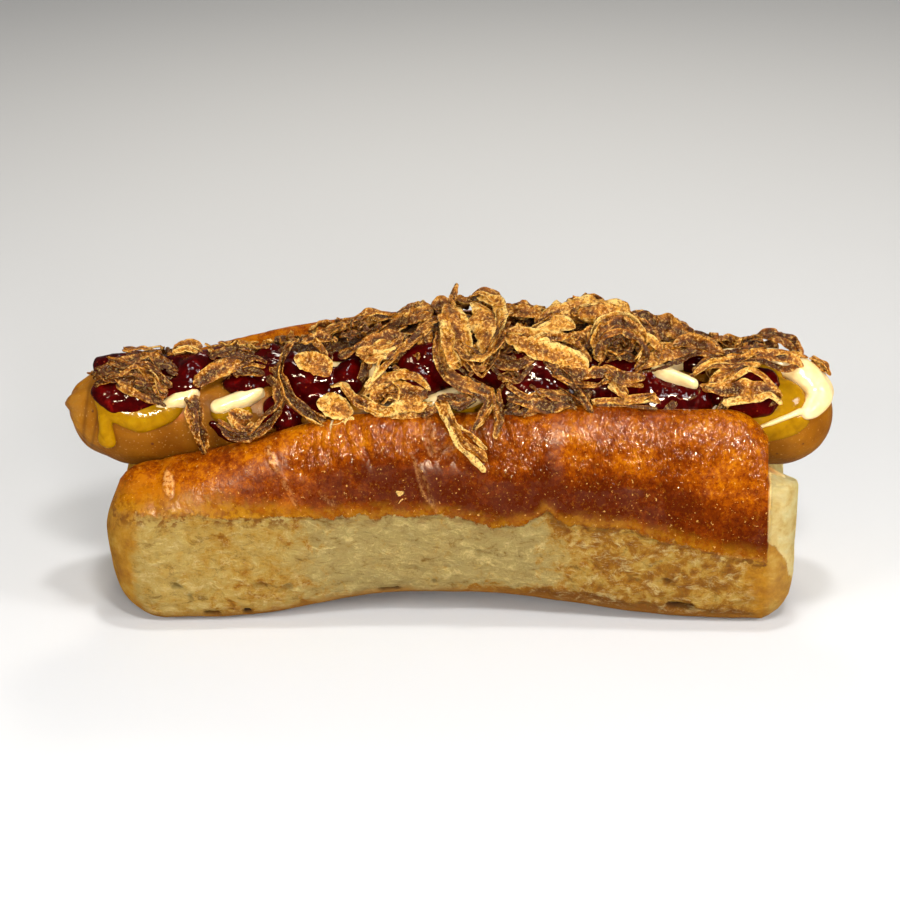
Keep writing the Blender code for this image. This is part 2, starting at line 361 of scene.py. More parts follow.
def half_outline(x, side, shoulder_rows, corner_rows):
    """Outline of one half at each x, as (y, z) from the top of its lip down to the middle of
    the underside, and from the lip down the wall of the cut to the bottom of the cradle."""
    base, lip, axis = underside(x), lip_height(x, side), axis_height(x)
    widest = base + WIDEST_AT
    half_width = BUN_HALF_WIDTH - (BUN_WAIST if side < 0 else 0) * hump(x, -0.005, 0.045)
    wall_top = lip - RIM_DEPTH
    below = np.minimum(wall_top - axis, 0)
    wall = np.sqrt(CUT_RADIUS**2 - below**2)
    rim = wall + RIM_WIDTH

    c, s = squircle(np.linspace(math.pi / 2, 0, shoulder_rows), SHOULDER_POWER)
    shoulder = rim + (half_width - rim) * c, widest + (lip - widest) * s
    c, s = squircle(np.linspace(0, math.pi / 2, corner_rows + 1)[1:], CORNER_POWER)
    foot = half_width - CORNER_DEPTH
    corner = foot + CORNER_DEPTH * c, widest - WIDEST_AT * s
    share = np.linspace(1, 0, FLAT_ROWS + 1)[1:]
    flat = foot * share, base + 0 * share
    outer = [np.concatenate([a, b, c], axis=1) for a, b, c in zip(shoulder, corner, flat)]

    a = np.linspace(0, math.pi / 2, RIM_ROWS + 1)[1:]
    edge = rim - RIM_WIDTH * np.sin(a), wall_top + RIM_DEPTH * np.cos(a)
    start = np.where(below < 0, np.arctan2(wall, -below), math.pi / 2)
    a = start * np.linspace(1, 0, CRADLE_ROWS + 1)[1:]
    cradle = CUT_RADIUS * np.sin(a), axis - CUT_RADIUS * np.cos(a)
    inner = [np.concatenate([a, b], axis=1) for a, b in zip(edge, cradle)]
    return [np.stack([part[0] * side, part[1]], axis=-1) for part in (outer, inner)]


def outside_cut(points, axis):
    """Points moved straight out from the sausage's axis where they come nearer than the cut."""
    offset = points - np.stack([0 * axis, axis], axis=-1)
    distance = np.linalg.norm(offset, axis=-1, keepdims=True)
    return points + offset * (np.maximum(CUT_RADIUS / distance, 1.0) - 1)


def bun_outlines(x):
    """Closed outlines at each x: down the front, under, up the back and back through the cut."""
    x = np.asarray(x, float)[:, None]
    front_out, front_in = half_outline(x, -1, SHOULDER_ROWS, CORNER_ROWS)
    back_out, back_in = half_outline(x, 1, BACK_SHOULDER_ROWS, BACK_CORNER_ROWS)
    outer = np.concatenate([front_out, back_out[:, -2::-1]], axis=1)
    inner = np.concatenate([back_in, front_in[:, -2::-1]], axis=1)
    return outside_cut(np.concatenate([outer, inner], axis=1), axis_height(x)), outer.shape[1]


def middle_of_wall(loop, outside, margin):
    """For each point of one outline, the point half way between its outside and its inside.
    The middle stops short of each lip by margin, as a share of the way round."""

    def shares(line):
        run = np.append(0, np.cumsum(np.linalg.norm(np.diff(line, axis=0), axis=1)))
        return run / run[-1]

    def read(at, run, line):
        return np.stack([np.interp(at, run, line[:, k]) for k in (0, 1)], axis=1)

    outer = loop[:outside]
    inner = np.concatenate([loop[:1], loop[:outside - 1:-1], loop[outside - 1:outside]])
    own = shares(outer), shares(inner)
    place = np.linspace(0, 1, WALL_STEPS)
    at = np.clip(place, margin, 1 - margin)
    middle = sum(read(at, run, line) for run, line in zip(own, (outer, inner))) / 2
    return read(np.concatenate([own[0], own[1][-2:0:-1]]), place, middle)


def bun_grid():
    """Outlines along the bun. At each end they shrink to the middle of the wall: round at the
    left, and from a firm edge to a bulging face at the right."""
    x = np.linspace(-LEFT_REACH, REACH, STATIONS)
    loops, outside = bun_outlines(x)
    rows = [np.concatenate([np.broadcast_to(x[:, None, None], (*loops.shape[:2], 1)), loops], axis=2)]
    for side, firm, reach, length, margin in ENDS:
        loop = loops[0 if side < 0 else -1]
        core = middle_of_wall(loop, outside, margin)
        a = np.linspace(0, math.pi / 2, END_RINGS + 1)[1:, None]
        share = (1 - np.cos(a)) * (1 - firm) + firm * a / (math.pi / 2)
        ring = loop + (core - loop) * (share * SLIT)[..., None]
        z = ring[..., 1]
        power = 1.7 + 3.2 * (1 - ramp(z, 0.006, 0.026))  # fuller low down
        rise = np.sqrt(1 - (1 - share) ** 2) * (1 - firm) + firm * (1 - (1 - share) ** power)
        low = 1 - 1.12 * firm * ramp(z, 0.0355, 0.0382) - (firm == 0) * 0.42 * ramp(z, 0.022, 0.042)
        end_x = side * (reach + length * rise * low)
        cap = np.concatenate([end_x[..., None], ring], axis=2)
        rows = [cap[::-1], *rows] if side < 0 else [*rows, cap]
    return np.concatenate(rows), outside


def from_line(x, z, start, end):
    """Distance of each point from the straight line from start to end, and how far along."""
    (x0, z0), (x1, z1) = start, end
    length = math.hypot(x1 - x0, z1 - z0)
    along = ((x - x0) * (x1 - x0) + (z - z0) * (z1 - z0)) / length
    reached = np.clip(along, 0, length)
    off = np.hypot(x - x0 - reached * (x1 - x0) / length, z - z0 - reached * (z1 - z0) / length)
    return off, along / length


def tear_line(x, side):
    """Height at which the crust ends and the torn side begins."""
    if side < 0:
        line = 0.0292 - 0.0024 * ramp(x, -0.008, 0.020) - 0.0095 * ramp(x, 0.034, 0.080)
        return line + 0.0032 * hump(x, 0.023, 0.0030) - 0.0008 * hump(x, 0.012, 0.006)
    return 0.0300 + 0.0012 * np.sin(x * 95 + 1.0)


# Creases in the front crust: start and end as (x, z), half width and depth
CREASES = (
    ((-0.0078, 0.0440), (-0.0024, 0.0300), 0.00042, 0.00050),
    ((-0.0415, 0.0450), (-0.0340, 0.0310), 0.00034, 0.00036),
    ((-0.0300, 0.0360), (-0.0258, 0.0320), 0.00028, 0.00028),
    ((-0.0045, 0.0520), (-0.0032, 0.0440), 0.00070, 0.00070),
    ((-0.0032, 0.0440), (0.0038, 0.0470), 0.00040, 0.00036),
)
# Open bubbles at the foot of the front: place, height above the underside, half length,
# half height and depth
BUBBLES = (
    (-0.0565, 0.0024, 0.0022, 0.0008, 0.0024),
    (-0.0480, 0.0024, 0.0012, 0.0008, 0.0010),
    (-0.0140, 0.0024, 0.0030, 0.0007, 0.0016),
    (0.0545, 0.0042, 0.0038, 0.0014, 0.0040),
)
# A peeled flake at the top of the long crack, and a flat blister near the left end: x, z, half
# length, half width and lean
FLAKES = (
    (-0.0405, 0.0432, 0.0026, 0.0011, 0.35),
    (-0.0651, 0.0361, 0.0026, 0.0014, 0.25),
)
FLAKE_LIFT, FLAKE_RIM = 0.00018, 0.00016
# Heights and depths of the bun's relief: broad swells and small dents, pinched folds of the
# front and back lips, fine ripples, and on the torn side its set-back, fibres, lumps and pits
SWELL, DENT = 0.00045, 0.00014
FOLD, FOLD_LUMP, BACK_FOLD = 0.00095, 0.00045, 0.00055
RIPPLE, FOLD_RIPPLE = 0.00020, 0.00012
SET_BACK, FIBRE, LUMP, PIT = 0.00050, 0.00045, 0.00070, 0.0008
BASE_SWELL, END_SWELL, END_FIBRE = 0.0003, 0.00045, 0.00018


def sparkle_zones(grid, x, z):
    """Where the crust has small shining ripples, as a share."""
    sparkle = between(x, 0.032, 0.073, 0.008) * between(z, 0.0385, 0.0525, 0.004)
    for more in (
        between(x, 0.012, 0.022, 0.004) * between(z, 0.0400, 0.0520, 0.003),
        0.22 * between(x, -0.060, -0.018, 0.008) * between(z, 0.0370, 0.0500, 0.004),
        0.45 * between(x, 0.048, 0.080, 0.010) * (1 - ramp(z, 0.034, 0.038)),
    ):
        sparkle = np.maximum(sparkle, more)
    return sparkle * (0.15 + 0.85 * ramp(layered(grid, 0.008, 36, 2), -0.55, 0.10))


def with_creases(relief, grid, x, z, front, skin):
    """The relief with the front's creases cut in, each between two raised sides, and with its
    flakes. Also where the crust is scarred, and where painted shade darkens the bottom of each
    crease and the sunk rim of each flake."""
    wobble = 0.0005 * noise(grid, 0.0030, 37)
    scar, cut = np.zeros_like(x), np.zeros_like(x)
    for start, end, width, depth in CREASES:
        off, share = from_line(x, z, start, end)
        off = np.abs(off + wobble)
        narrow = width * (0.35 + 0.65 * np.sin(math.pi * np.clip(0.08 + 0.84 * share, 0, 1)))
        relief = relief - front * skin * depth * hump(off, 0, narrow)
        relief = relief + front * skin * depth * 0.6 * hump(off, 1.8 * narrow, narrow)
        # Painted shade: the bottom of each crease is marked to be darkened.
        cut = np.maximum(cut, front * hump(off, 0, narrow))
        scar = np.maximum(scar, 0.38 * front * hump(off, 1.2 * narrow, narrow))
    for px, pz, long, wide, lean in FLAKES:
        lengthways = (z - pz) * math.cos(lean) - (x - px) * math.sin(lean)
        sideways = (x - px) * math.cos(lean) + (z - pz) * math.sin(lean)
        off = np.hypot(lengthways / long, sideways / wide) + 0.16 * noise(grid, 0.0016, 38)
        blister = front * (1 - ramp(off, 0.80, 1.05))
        rim_line = front * hump(off, 1.1, 0.16)
        relief = relief + FLAKE_LIFT * blister - FLAKE_RIM * rim_line
        scar, cut = np.maximum(scar, blister), np.maximum(cut, 0.7 * rim_line)
    return relief, scar, cut


def browning_and_top_light(grid, x, z, rise):
    """How deep the crust's brown is: deepest in a band above the torn edge and lighter at both
    ends and above the band, where the lighter orange is partly browning and partly painted top
    light. Also how golden the crust is along that edge."""
    deep = 0.60 + 0.40 * ramp(rise + 0.0012 * layered(grid, 0.008, 72), 0.0006, 0.0042)
    # Partly painted top light: the crust lightens towards the lip, where it turns up to the light.
    deep = deep * (1 - 0.62 * ramp(rise + 0.0020 * layered(grid, 0.010, 73), 0.0095, 0.0175))
    bake_and_top_light = deep * (0.10 + 0.38 * ramp(x, -0.074, -0.045) + 0.52 * ramp(x, -0.046, -0.004))
    bake_and_top_light = bake_and_top_light * (1 - 0.32 * ramp(x, 0.050, 0.072) * ramp(z, 0.030, 0.038))
    bake_and_top_light = bake_and_top_light + 0.10 * layered(grid, 0.011, 71)
    bake_and_top_light = bake_and_top_light - 0.10 * between(x, 0.040, 0.080, 0.012) * (1 - ramp(z, 0.033, 0.038))
    bake_and_top_light = bake_and_top_light - 0.03 * between(x, 0.015, 0.080, 0.015) * ramp(z, 0.036, 0.041)
    wide = 0.0042 + 0.0040 * ramp(-x, 0.030, 0.062) + 0.0016 * ramp(x, 0.040, 0.072)
    gilt = 1 - ramp(rise + 0.0010 * layered(grid, 0.006, 74), 0.0006, wide)
    gilt = gilt * (1 - 0.35 * ramp(x, -0.045, -0.020))
    return bake_and_top_light, gilt


def toasting(grid, swirl, x, z):
    """How toasted the torn side is: in drifts, browner at its foot and towards the right."""
    toast = layered(swirl, (0.009, 0.006, 0.006), 75, 3)
    toast = toast + 0.15 * between(x, -0.066, -0.030, 0.012) + 0.80 * between(x, 0.026, 0.075, 0.012)
    toast = toast - 0.70 * between(x, -0.024, 0.016, 0.012) - 0.75 * ramp(-x, 0.050, 0.066)
    foot = 0.0062 - (z - underside(x)) + 0.0012 * layered(grid, 0.010, 77)
    browner = ramp(foot, 0.0, 0.004) * (0.35 + 2.0 * ramp(x, -0.005, 0.02))
    return toast + browner * (1 - 0.5 * ramp(x, 0.045, 0.060))


def make_bun(crust):
    """The bun's grid of points, moved along its normals by relief that follows the crust, the
    torn side and the ends, with marks that tell the material which is which."""
    grid, outside = bun_grid()
    rings, across = grid.shape[:2]
    x, y, z = grid[..., 0], grid[..., 1], grid[..., 2]
    normal = normals_of(grid)
    lowest = rings // 2, SHOULDER_ROWS + CORNER_ROWS + 3
    if normal[lowest][2] > 0:
        normal = -normal

    column = np.arange(across)[None, :]
    past_end = ramp(x, REACH + 0.0002, REACH + 0.0010) + ramp(-x, LEFT_REACH + 0.0004, LEFT_REACH + 0.0030)
    is_outside = np.maximum((column < outside) * 1.0, past_end)
    front = is_outside * (y < 0)
    held = np.clip(x, -LEFT_REACH, REACH)
    lip = np.where(y < 0, lip_height(held, -1), lip_height(held, 1))
    tear = np.where(y < 0, tear_line(x, -1), tear_line(x, 1))
    below_lip = lip - z

    # How far above the torn edge each point lies, with a ragged line
    ragged = 0.0010 * layered(grid, (0.010, 0.02, 0.007), 11) + 0.0011 * layered(grid, 0.0034, 14, 3)
    rise = z - tear + ragged
    left_skin = ramp(-x + 0.004 * layered(grid, 0.009, 17), 0.0680, 0.0785)
    face = ramp(x, REACH + 0.0002, REACH + 0.0012) * (1 - ramp(z, 0.0405, 0.0425))  # the pale right end
    inside = 1 - is_outside
    rim = inside * (below_lip < RIM_DEPTH * 0.9 + 0.020 * ramp(np.abs(x), 0.066, 0.071))
    torn = (1 - ramp(rise, -0.0006, 0.0002)) * is_outside * (1 - face) * (1 - left_skin)
    under = ramp(-normal[..., 2], 0.55, 0.85) * is_outside * ramp(0.008 - (z - underside(x)), 0, 0.006)
    torn = torn * (1 - under)
    skin = is_outside * (1 - torn) * (1 - face) * (1 - under)

    # Crust: broad swells, small dents, and the pinched folds under the lip
    relief = skin * (SWELL * layered(grid, 0.017, 21) + DENT * layered(grid, 0.005, 24))
    pinch = between(x, -0.032, 0.014, 0.008) * ramp(0.013 - below_lip, 0, 0.006)
    upright = np.stack([x + 0.15 * z + 0.002 * noise(grid, 0.006, 30), y * 0.25, z * 0.22], -1)
    creases = ridged(upright, 0.0036, 31, 2)
    relief = relief - front * skin * pinch * FOLD * creases**3
    relief = relief + front * skin * pinch * FOLD_LUMP * noise(upright, (0.007, 0.02, 0.02), 33)
    sparkle = sparkle_zones(grid, x, z)
    slanted = np.stack([x * 0.55 - 0.6 * z, y * 0.4, z * 0.9 + 0.35 * x], -1)
    ripples = layered(slanted + 0.0012 * noise(grid, 0.004, 32)[..., None], 0.0024, 34, 2)
    wrinkled = np.maximum(0.75 * pinch, sparkle)
    relief = relief + front * skin * (sparkle * RIPPLE + pinch * FOLD_RIPPLE) * ripples
    back_pinch = (1 - front) * skin * ramp(0.012 - below_lip, 0, 0.006)
    back_pinch = back_pinch * ramp(noise(grid, 0.03, 39), -0.2, 0.5)
    relief = relief - back_pinch * (BACK_FOLD * creases**3 - FOLD_RIPPLE * ripples)

    relief, scar, cut = with_creases(relief, grid, x, z, front, skin)

    # Torn side: set in behind the crust, with stretched fibres, lumps and pits
    swirl = grid + 0.004 * np.stack([layered(grid, 0.010, 41 + k, 2) for k in range(3)], -1)
    fibres = ridged(swirl, (0.0065, 0.003, 0.0026), 44, 3)
    lumps = layered(swirl, (0.0055, 0.004, 0.0036), 48, 3)
    pits = ramp(noise(grid, (0.0034, 0.003, 0.0022), 51), 0.60, 0.85)
    pits = pits * ramp(noise(grid, 0.012, 52), -0.1, 0.5)
    edge_drop = ramp(-rise, 0.0, 0.0012)
    relief = relief - torn * (SET_BACK * edge_drop + FIBRE * fibres**2 - LUMP * lumps + PIT * pits)
    relief = relief + skin * 0.00008 * hump(rise, 0.0006, 0.0008) * is_outside

    # Underside and the pale end: soft swells and a few open bubbles along the front edge
    relief = relief + under * BASE_SWELL * layered(grid, 0.010, 61)
    relief = relief + face * (END_SWELL * layered(grid, (0.009, 0.005, 0.012), 63) - END_FIBRE * fibres)
    # Near black is painted into these bubbles and into the torn side's pits as shade in the hollows.
    painted_hole_shade = np.zeros_like(x)
    for place, above, length, height, depth in BUBBLES:
        one = hump(x, place, length) * hump(z - underside(x), above, height) * front
        relief = relief - depth * one * ramp(one, 0.2, 0.6)
        painted_hole_shade = np.maximum(painted_hole_shade, ramp(one, 0.30, 0.65))

    # The relief fades out in the last rings of each end, and nothing sinks below the table
    fade = np.ones((rings, 1))
    fade[:3, 0] = (0.0, 0.3, 0.7)
    fade[-3:, 0] = (0.7, 0.3, 0.0)
    grid = grid + normal * (relief * fade)[..., None]
    grid[..., 2] = np.maximum(grid[..., 2], 0.0)

    # Looks: the material reads these marks
    bake_and_top_light, gilt = browning_and_top_light(grid, x, z, rise)
    soft = 0.35 + 1.2 * ramp(-x, 0.040, 0.070) + 1.0 * ramp(x, 0.045, 0.075)

    toast = toasting(grid, swirl, x, z)
    drift = layered(grid, 0.006, 78)
    sloping = x - 0.55 * (0.024 - z) + 0.0022 * drift
    right_corner = ramp(x + 0.003 * drift, 0.0650, 0.0745)
    right_corner = right_corner * (1 - ramp(sloping, REACH - 0.0004, REACH + 0.0026))
    right_corner = right_corner * (1 - ramp(z, 0.022, 0.028))
    right_end = np.maximum(0.9 * right_corner, face * (1 - ramp(z, 0.003, 0.011)))
    golden_end = np.maximum(left_skin, right_end) * is_outside
    rise_mm = np.where(is_outside > 0, rise * 1000, np.where(rim, 6.0, -6.0))
    marks_made = {
        "rise": rise_mm * (1 - face) - 9 * face * (1 - inside),
        "soft": soft,
        "bake_and_top_light": bake_and_top_light,
        "gilt": gilt,
        "toast": toast,
        "grey": between(x, -0.028, 0.020, 0.014) + 0 * z,
        "face": np.maximum(face * is_outside, inside * (1 - rim)),
        "under": under,
        "wrinkle": np.clip(np.maximum(wrinkled * front, back_pinch), 0, 1),
        "scar": scar * skin,
        "cut": cut * skin,
        "painted_hole_shade": np.maximum(painted_hole_shade, 0.5 * pits * torn),
        "golden_end": golden_end,
    }
    order = np.arange(rings * across).reshape(rings, across)
    make_piece("bun_loaf", grid, grid_faces(rings, across), crust, node="bun",
               caps=(order[0][::-1], order[-1]), marks=marks_made)


def crust_finish():
    """Glazed crust from golden to deep brown, partly painted top light, over pale torn crumb with
    toasted patches; painted light and shade on the crumb's fibres, and painted shade in its
    holes and creases.
    """
    f = Finish("glazed_crust_and_crumb", Subsurface_Weight=0.04, Subsurface_Scale=0.003,
               Specular_IOR_Level=0.09, Subsurface_Radius=(1.0, 0.40, 0.10))
    ragged = f.times(f.uneven(480, 8, 0.72), f.sum(4.5, f.mark("soft")))
    rise = f.sum(f.mark("rise"), ragged)
    is_crust = f.step(rise, f.times(f.mark("soft"), -1.0), f.mark("soft"))

    patchy = f.uneven(95, 5, 0.62)
    mottle = f.uneven(520, 5, 0.65)
    fine = f.uneven(1300, 4, 0.7, 0.6)
    bake_and_top_light = f.sum(f.sum(f.mark("bake_and_top_light"), f.times(patchy, 1.25)),
                 f.sum(f.times(mottle, 1.35), f.times(fine, 1.1)))
    # The lighter stops, reached high on the front, are partly painted top light.
    crust = f.blend(bake_and_top_light, (0.0, (0.40, 0.115, 0.0010)), (0.25, (0.25, 0.050, 0.0004)),
                    (0.52, (0.135, 0.0195, 0.0003)), (0.95, (0.066, 0.0072, 0.0002)))
    gilt = f.times(f.mark("gilt"), f.step(f.grain(380, 5, 0.65), 0.25, 0.60, 0.60, 1.0))
    gold = f.blend(f.sum(mottle, 0.5), (0.42, (0.15, 0.046, 0.001)), (0.57, (0.31, 0.130, 0.004)))
    crust = f.mix(gilt, crust, gold)
    golden_dust = f.step(f.grain(1150, 5, 0.75, 0.5), 0.53, 0.68)
    crust = f.over(crust, (0.32, 0.110, 0.004), golden_dust, 0.30)
    freckles = f.step(f.grain(1500, 2), 0.66, 0.74)
    crust = f.over(crust, (0.72, 0.38, 0.090), freckles, 0.55)
    dark_specks = f.step(f.cells(330), 0.09, 0.04)
    crust = f.over(crust, (0.06, 0.010, 0.001), dark_specks, 0.50)
    flaky = f.step(f.grain(1100, 4, 0.6), 0.40, 0.58)
    crust = f.over(crust, (0.62, 0.30, 0.085), f.times(f.mark("scar"), flaky), 0.80)
    # Painted shade: dark along the bottom of each crease and round each flake's sunk rim.
    crust = f.over(crust, (0.11, 0.018, 0.001), f.mark("cut"), 0.45)

    woolly = f.grain(430, 8, 0.76, 0.45, f.stretched((0.55, 1, 1), (0, 0.25, 0)))
    threads = f.grain(900, 6, 0.74, 0.7, f.stretched((0.45, 1, 1), (0, -0.3, 0)))
    toast = f.sum(f.mark("toast"), f.times(f.uneven(300, 7, 0.66, 0.5), 6.5))
    crumb = f.blend(f.step(toast, -1.6, 2.3), (0.0, (0.63, 0.42, 0.110)), (0.42, (0.59, 0.340, 0.060)),
                    (0.58, (0.56, 0.290, 0.038)), (0.74, (0.43, 0.170, 0.0090)),
                    (1.0, (0.24, 0.072, 0.003)))
    crumb = f.over(crumb, (0.46, 0.335, 0.115), f.mark("grey"), f.step(toast, 1.2, -0.2, 0.0, 0.8))
    # Painted light and shade: the raised fibres are lighter and the gaps between them darker, following the
    # relief.
    crumb = f.over(crumb, (0.80, 0.60, 0.22), f.step(woolly, 0.50, 0.68), 0.85)
    crumb = f.over(crumb, (0.25, 0.125, 0.018), f.step(woolly, 0.47, 0.32), 0.90)
    crumb = f.over(crumb, (0.84, 0.68, 0.34), f.step(threads, 0.56, 0.70), 0.30)
    crumb = f.over(crumb, (0.25, 0.115, 0.016), f.step(threads, 0.42, 0.30), 0.60)
    golden = f.step(f.sum(f.mark("golden_end"), f.times(f.uneven(240, 6, 0.68), 1.3)), 0.20, 0.80, 0, 0.92)
    amber = f.blend(f.grain(260, 6, 0.65), (0.34, (0.44, 0.150, 0.004)), (0.52, (0.62, 0.270, 0.012)),
                    (0.70, (0.74, 0.42, 0.065)))
    crumb = f.mix(golden, crumb, amber)
    near = f.times(f.step(f.mark("rise"), -4.2, -0.3), f.step(f.grain(420, 5, 0.65), 0.48, 0.58))
    near = f.times(near, f.step(f.mark("grey"), 0.9, 0.3, 0.35, 1.0))
    crumb = f.over(crumb, (0.25, 0.074, 0.003), near, 0.90)

    body = f.mix(is_crust, crumb, crust)
    end_face = f.blend(f.grain(190, 7, 0.68, 0.4), (0.34, (0.80, 0.50, 0.13)), (0.50, (0.93, 0.70, 0.27)),
                       (0.68, (0.96, 0.80, 0.38)))
    body = f.over(body, end_face, f.mark("face"), f.step(golden, 0.3, 0.9, 1.0, 0.10))
    body = f.over(body, (0.38, 0.140, 0.010), f.mark("under"), 0.9)
    # Painted shade: near black in the bubbles and pits.
    body = f.mix(f.mark("painted_hole_shade"), body, (0.035, 0.012, 0.002))

    wave = f.grain(980, 2, 0.40, 1.3, f.stretched((1, 0.7, 0.46), (0, 0.45, 0)))
    smooth = f.bump(f.grain(260, 4, 0.55), 0.00022)
    ripple = f.times(f.sum(wave, -0.5), f.step(f.mark("wrinkle"), 0.0, 1.0, 0.06, 1.0))
    shiny = f.bump(ripple, 0.00062, 1.0, smooth)
    fluff = f.sum(f.sum(f.times(woolly, 1.6), threads), f.sum(f.times(f.grain(1500, 4, 0.7), 0.6), -1.60))
    height = f.times(fluff, f.sum(1.0, is_crust, "SUBTRACT"))
    normal = f.bump(height, 0.0022, 1.0, shiny)
    satin = f.step(f.grain(210, 5, 0.65), 0.40, 0.60, 0.24, 0.40)
    gloss = f.times(satin, f.step(f.mark("wrinkle"), 0.1, 0.6, 1.0, 0.28))
    rough = f.node("Mix", {0: is_crust, 2: 0.9, 3: gloss}, data_type="FLOAT")
    return f.finish(body, rough.outputs[0], normal)


# ---------------------------------------------------------------- sausage

# Small grazes on the front of the casing: x, angle and size
GRAZES = ((-0.0655, -66, 0.0011), (-0.0600, -60, 0.0008), (-0.0630, -72, 0.0007))


def make_sausage(casing):
    """Rings round the axis, thinner towards two rounded ends. The left end is pinched into a
    twisted tip, with creases that run out from it."""
    half = SAUSAGE_LENGTH / 2
    x = half * np.sin(np.linspace(-math.pi / 2, math.pi / 2, SAUSAGE_RINGS))[:, None]
    turn = np.linspace(0, 2 * math.pi, SAUSAGE_ROUND, endpoint=False)[None, :]
    past = np.clip((np.abs(x) - (half - SAUSAGE_END)) / SAUSAGE_END, 0, 1)
    radius = SAUSAGE_RADIUS * np.sqrt(1 - past**2)
    around = SAUSAGE_RADIUS * np.sin(turn), SAUSAGE_RADIUS * np.cos(turn)
    around = np.stack(np.broadcast_arrays(x, *around), -1)
    tip = ramp(-x, half - 0.013, half - 0.001)
    creases = np.cos(turn * 7 + 1.6 * noise(around, 0.006, 81)) * ramp(-x, half - 0.010, half - 0.003)
    relief = 0.00045 * creases * (1 - tip * 0.4) + 0.00035 * layered(around, 0.012, 82)
    relief = relief + 0.00008 * layered(around, 0.0025, 85)
    relief = relief - 0.0006 * ridged(around, (0.012, 0.006, 0.006), 87, 2) ** 4 * tip
    radius = radius + relief * np.minimum(radius / 0.004, 1) - 0.0010 * hump(x, -half + 0.0060, 0.0050)
    y = radius * np.sin(turn)
    z = axis_height(x) + radius * np.cos(turn)
    z = z - 0.0024 * ramp(-x, half - 0.0115, half - 0.0025)
    # Painted shade: dark lines along two creases near the twisted tip, on its front.
    painted_shade = hump(x + half - 0.0048 - 0.0014 * np.cos(turn), 0, 0.0005)
    painted_shade = painted_shade + hump(x + half - 0.0078 - 0.0030 * np.cos(turn), 0, 0.0004)
    painted_shade = painted_shade * ramp(np.sin(-turn), 0.1, 0.6)
    nose = hump(np.angle(np.exp(1j * (turn + 0.9))), 0, 0.5) * ramp(-x, half - 0.0055, half - 0.0015)
    x = x - 0.0012 * nose * (1 - ramp(-x, half - 0.0004, half))
    points = np.stack(np.broadcast_arrays(x, y, z), -1)
    pale = ramp(-points[..., 0], half - 0.010, half - 0.002) + 0 * turn
    # Painted shade: the casing is darkened on its lower side, away from the ends.
    low = 0.80 * np.sin(math.pi * np.clip((math.pi - 1.35 - np.abs(turn - math.pi)) / 1.1, 0, 0.5)) ** 2
    painted_shade = np.maximum(painted_shade, low * (1 - ramp(np.abs(x), half - 0.016, half - 0.004)))
    graze = np.zeros_like(pale)
    for place, angle, size in GRAZES:
        aside = (turn - 2 * math.pi - math.radians(angle)) * SAUSAGE_RADIUS
        graze = np.maximum(graze, hump(np.hypot((points[..., 0] - place) * 0.5, aside), 0, size))
    marks = {"pale": pale, "graze": graze, "painted_shade": painted_shade + 0 * pale}
    make_piece("sausage_link", points, grid_faces(*points.shape[:2]), casing, node="sausage",
               marks=marks, weld=2e-5)


def casing_finish():
    """Smooth tan casing with painted shade on its lower side and along the creases of its tip, fine specks
    and a pale twisted tip.
    """
    f = Finish("sausage_casing", Subsurface_Weight=0.10, Subsurface_Scale=0.002,
               Specular_IOR_Level=0.08, Subsurface_Radius=(1.0, 0.35, 0.12))
    cloud = f.grain(110, 4, 0.55)
    colour = f.blend(cloud, (0.25, (0.160, 0.045, 0.001)), (0.50, (0.245, 0.080, 0.001)),
                     (0.78, (0.34, 0.128, 0.004)))
    blotchy = f.step(f.grain(400, 4), 0.3, 0.6, 0.10, 0.55)
    colour = f.over(colour, (0.33, 0.145, 0.020), f.mark("pale"), blotchy)
    colour = f.over(colour, (0.50, 0.10, 0.012), f.mark("graze"), 0.7)
    # Painted shade on the lower side and in the creases of the tip.
    colour = f.over(colour, (0.09, 0.024, 0.003), f.mark("painted_shade"), 0.6)
    colour = f.over(colour, (0.07, 0.018, 0.008), f.step(f.cells(230), 0.11, 0.06), 0.75)
    colour = f.over(colour, (0.75, 0.46, 0.16), f.step(f.grain(1700, 2), 0.64, 0.72), 0.25)
    skin = f.bump(f.grain(1400, 4, 0.6), 0.00006, 1.0, f.bump(f.grain(350, 3), 0.00016))
    return f.finish(colour, f.step(cloud, 0.3, 0.7, 0.30, 0.42), skin)


# ---------------------------------------------------------------- sauces
# Each sauce is laid on in strokes. A stroke follows places (along the sausage in mm, angle in
# degrees, half width in mm, height in mm) and is then melted into one body.

STROKE_STEPS, STROKE_ROUND = 56, 18
FOOT_DEPTH = 0.0008


def rounded_path(places, steps=STROKE_STEPS):
    """An even line through the places, its corners rounded by averaging neighbours."""
    places = np.asarray(places, float)
    leg = np.hypot(np.diff(places[:, 0]), np.radians(np.diff(places[:, 1])) * SAUSAGE_RADIUS * 1000)
    run = np.append(0, np.cumsum(leg))
    at = np.linspace(0, run[-1], steps)
    line = np.stack([np.interp(at, run, column) for column in places.T], axis=1)
    for _ in range(steps // 10):
        line[1:-1] = (line[:-2] + 2 * line[1:-1] + line[2:]) / 4
    return line


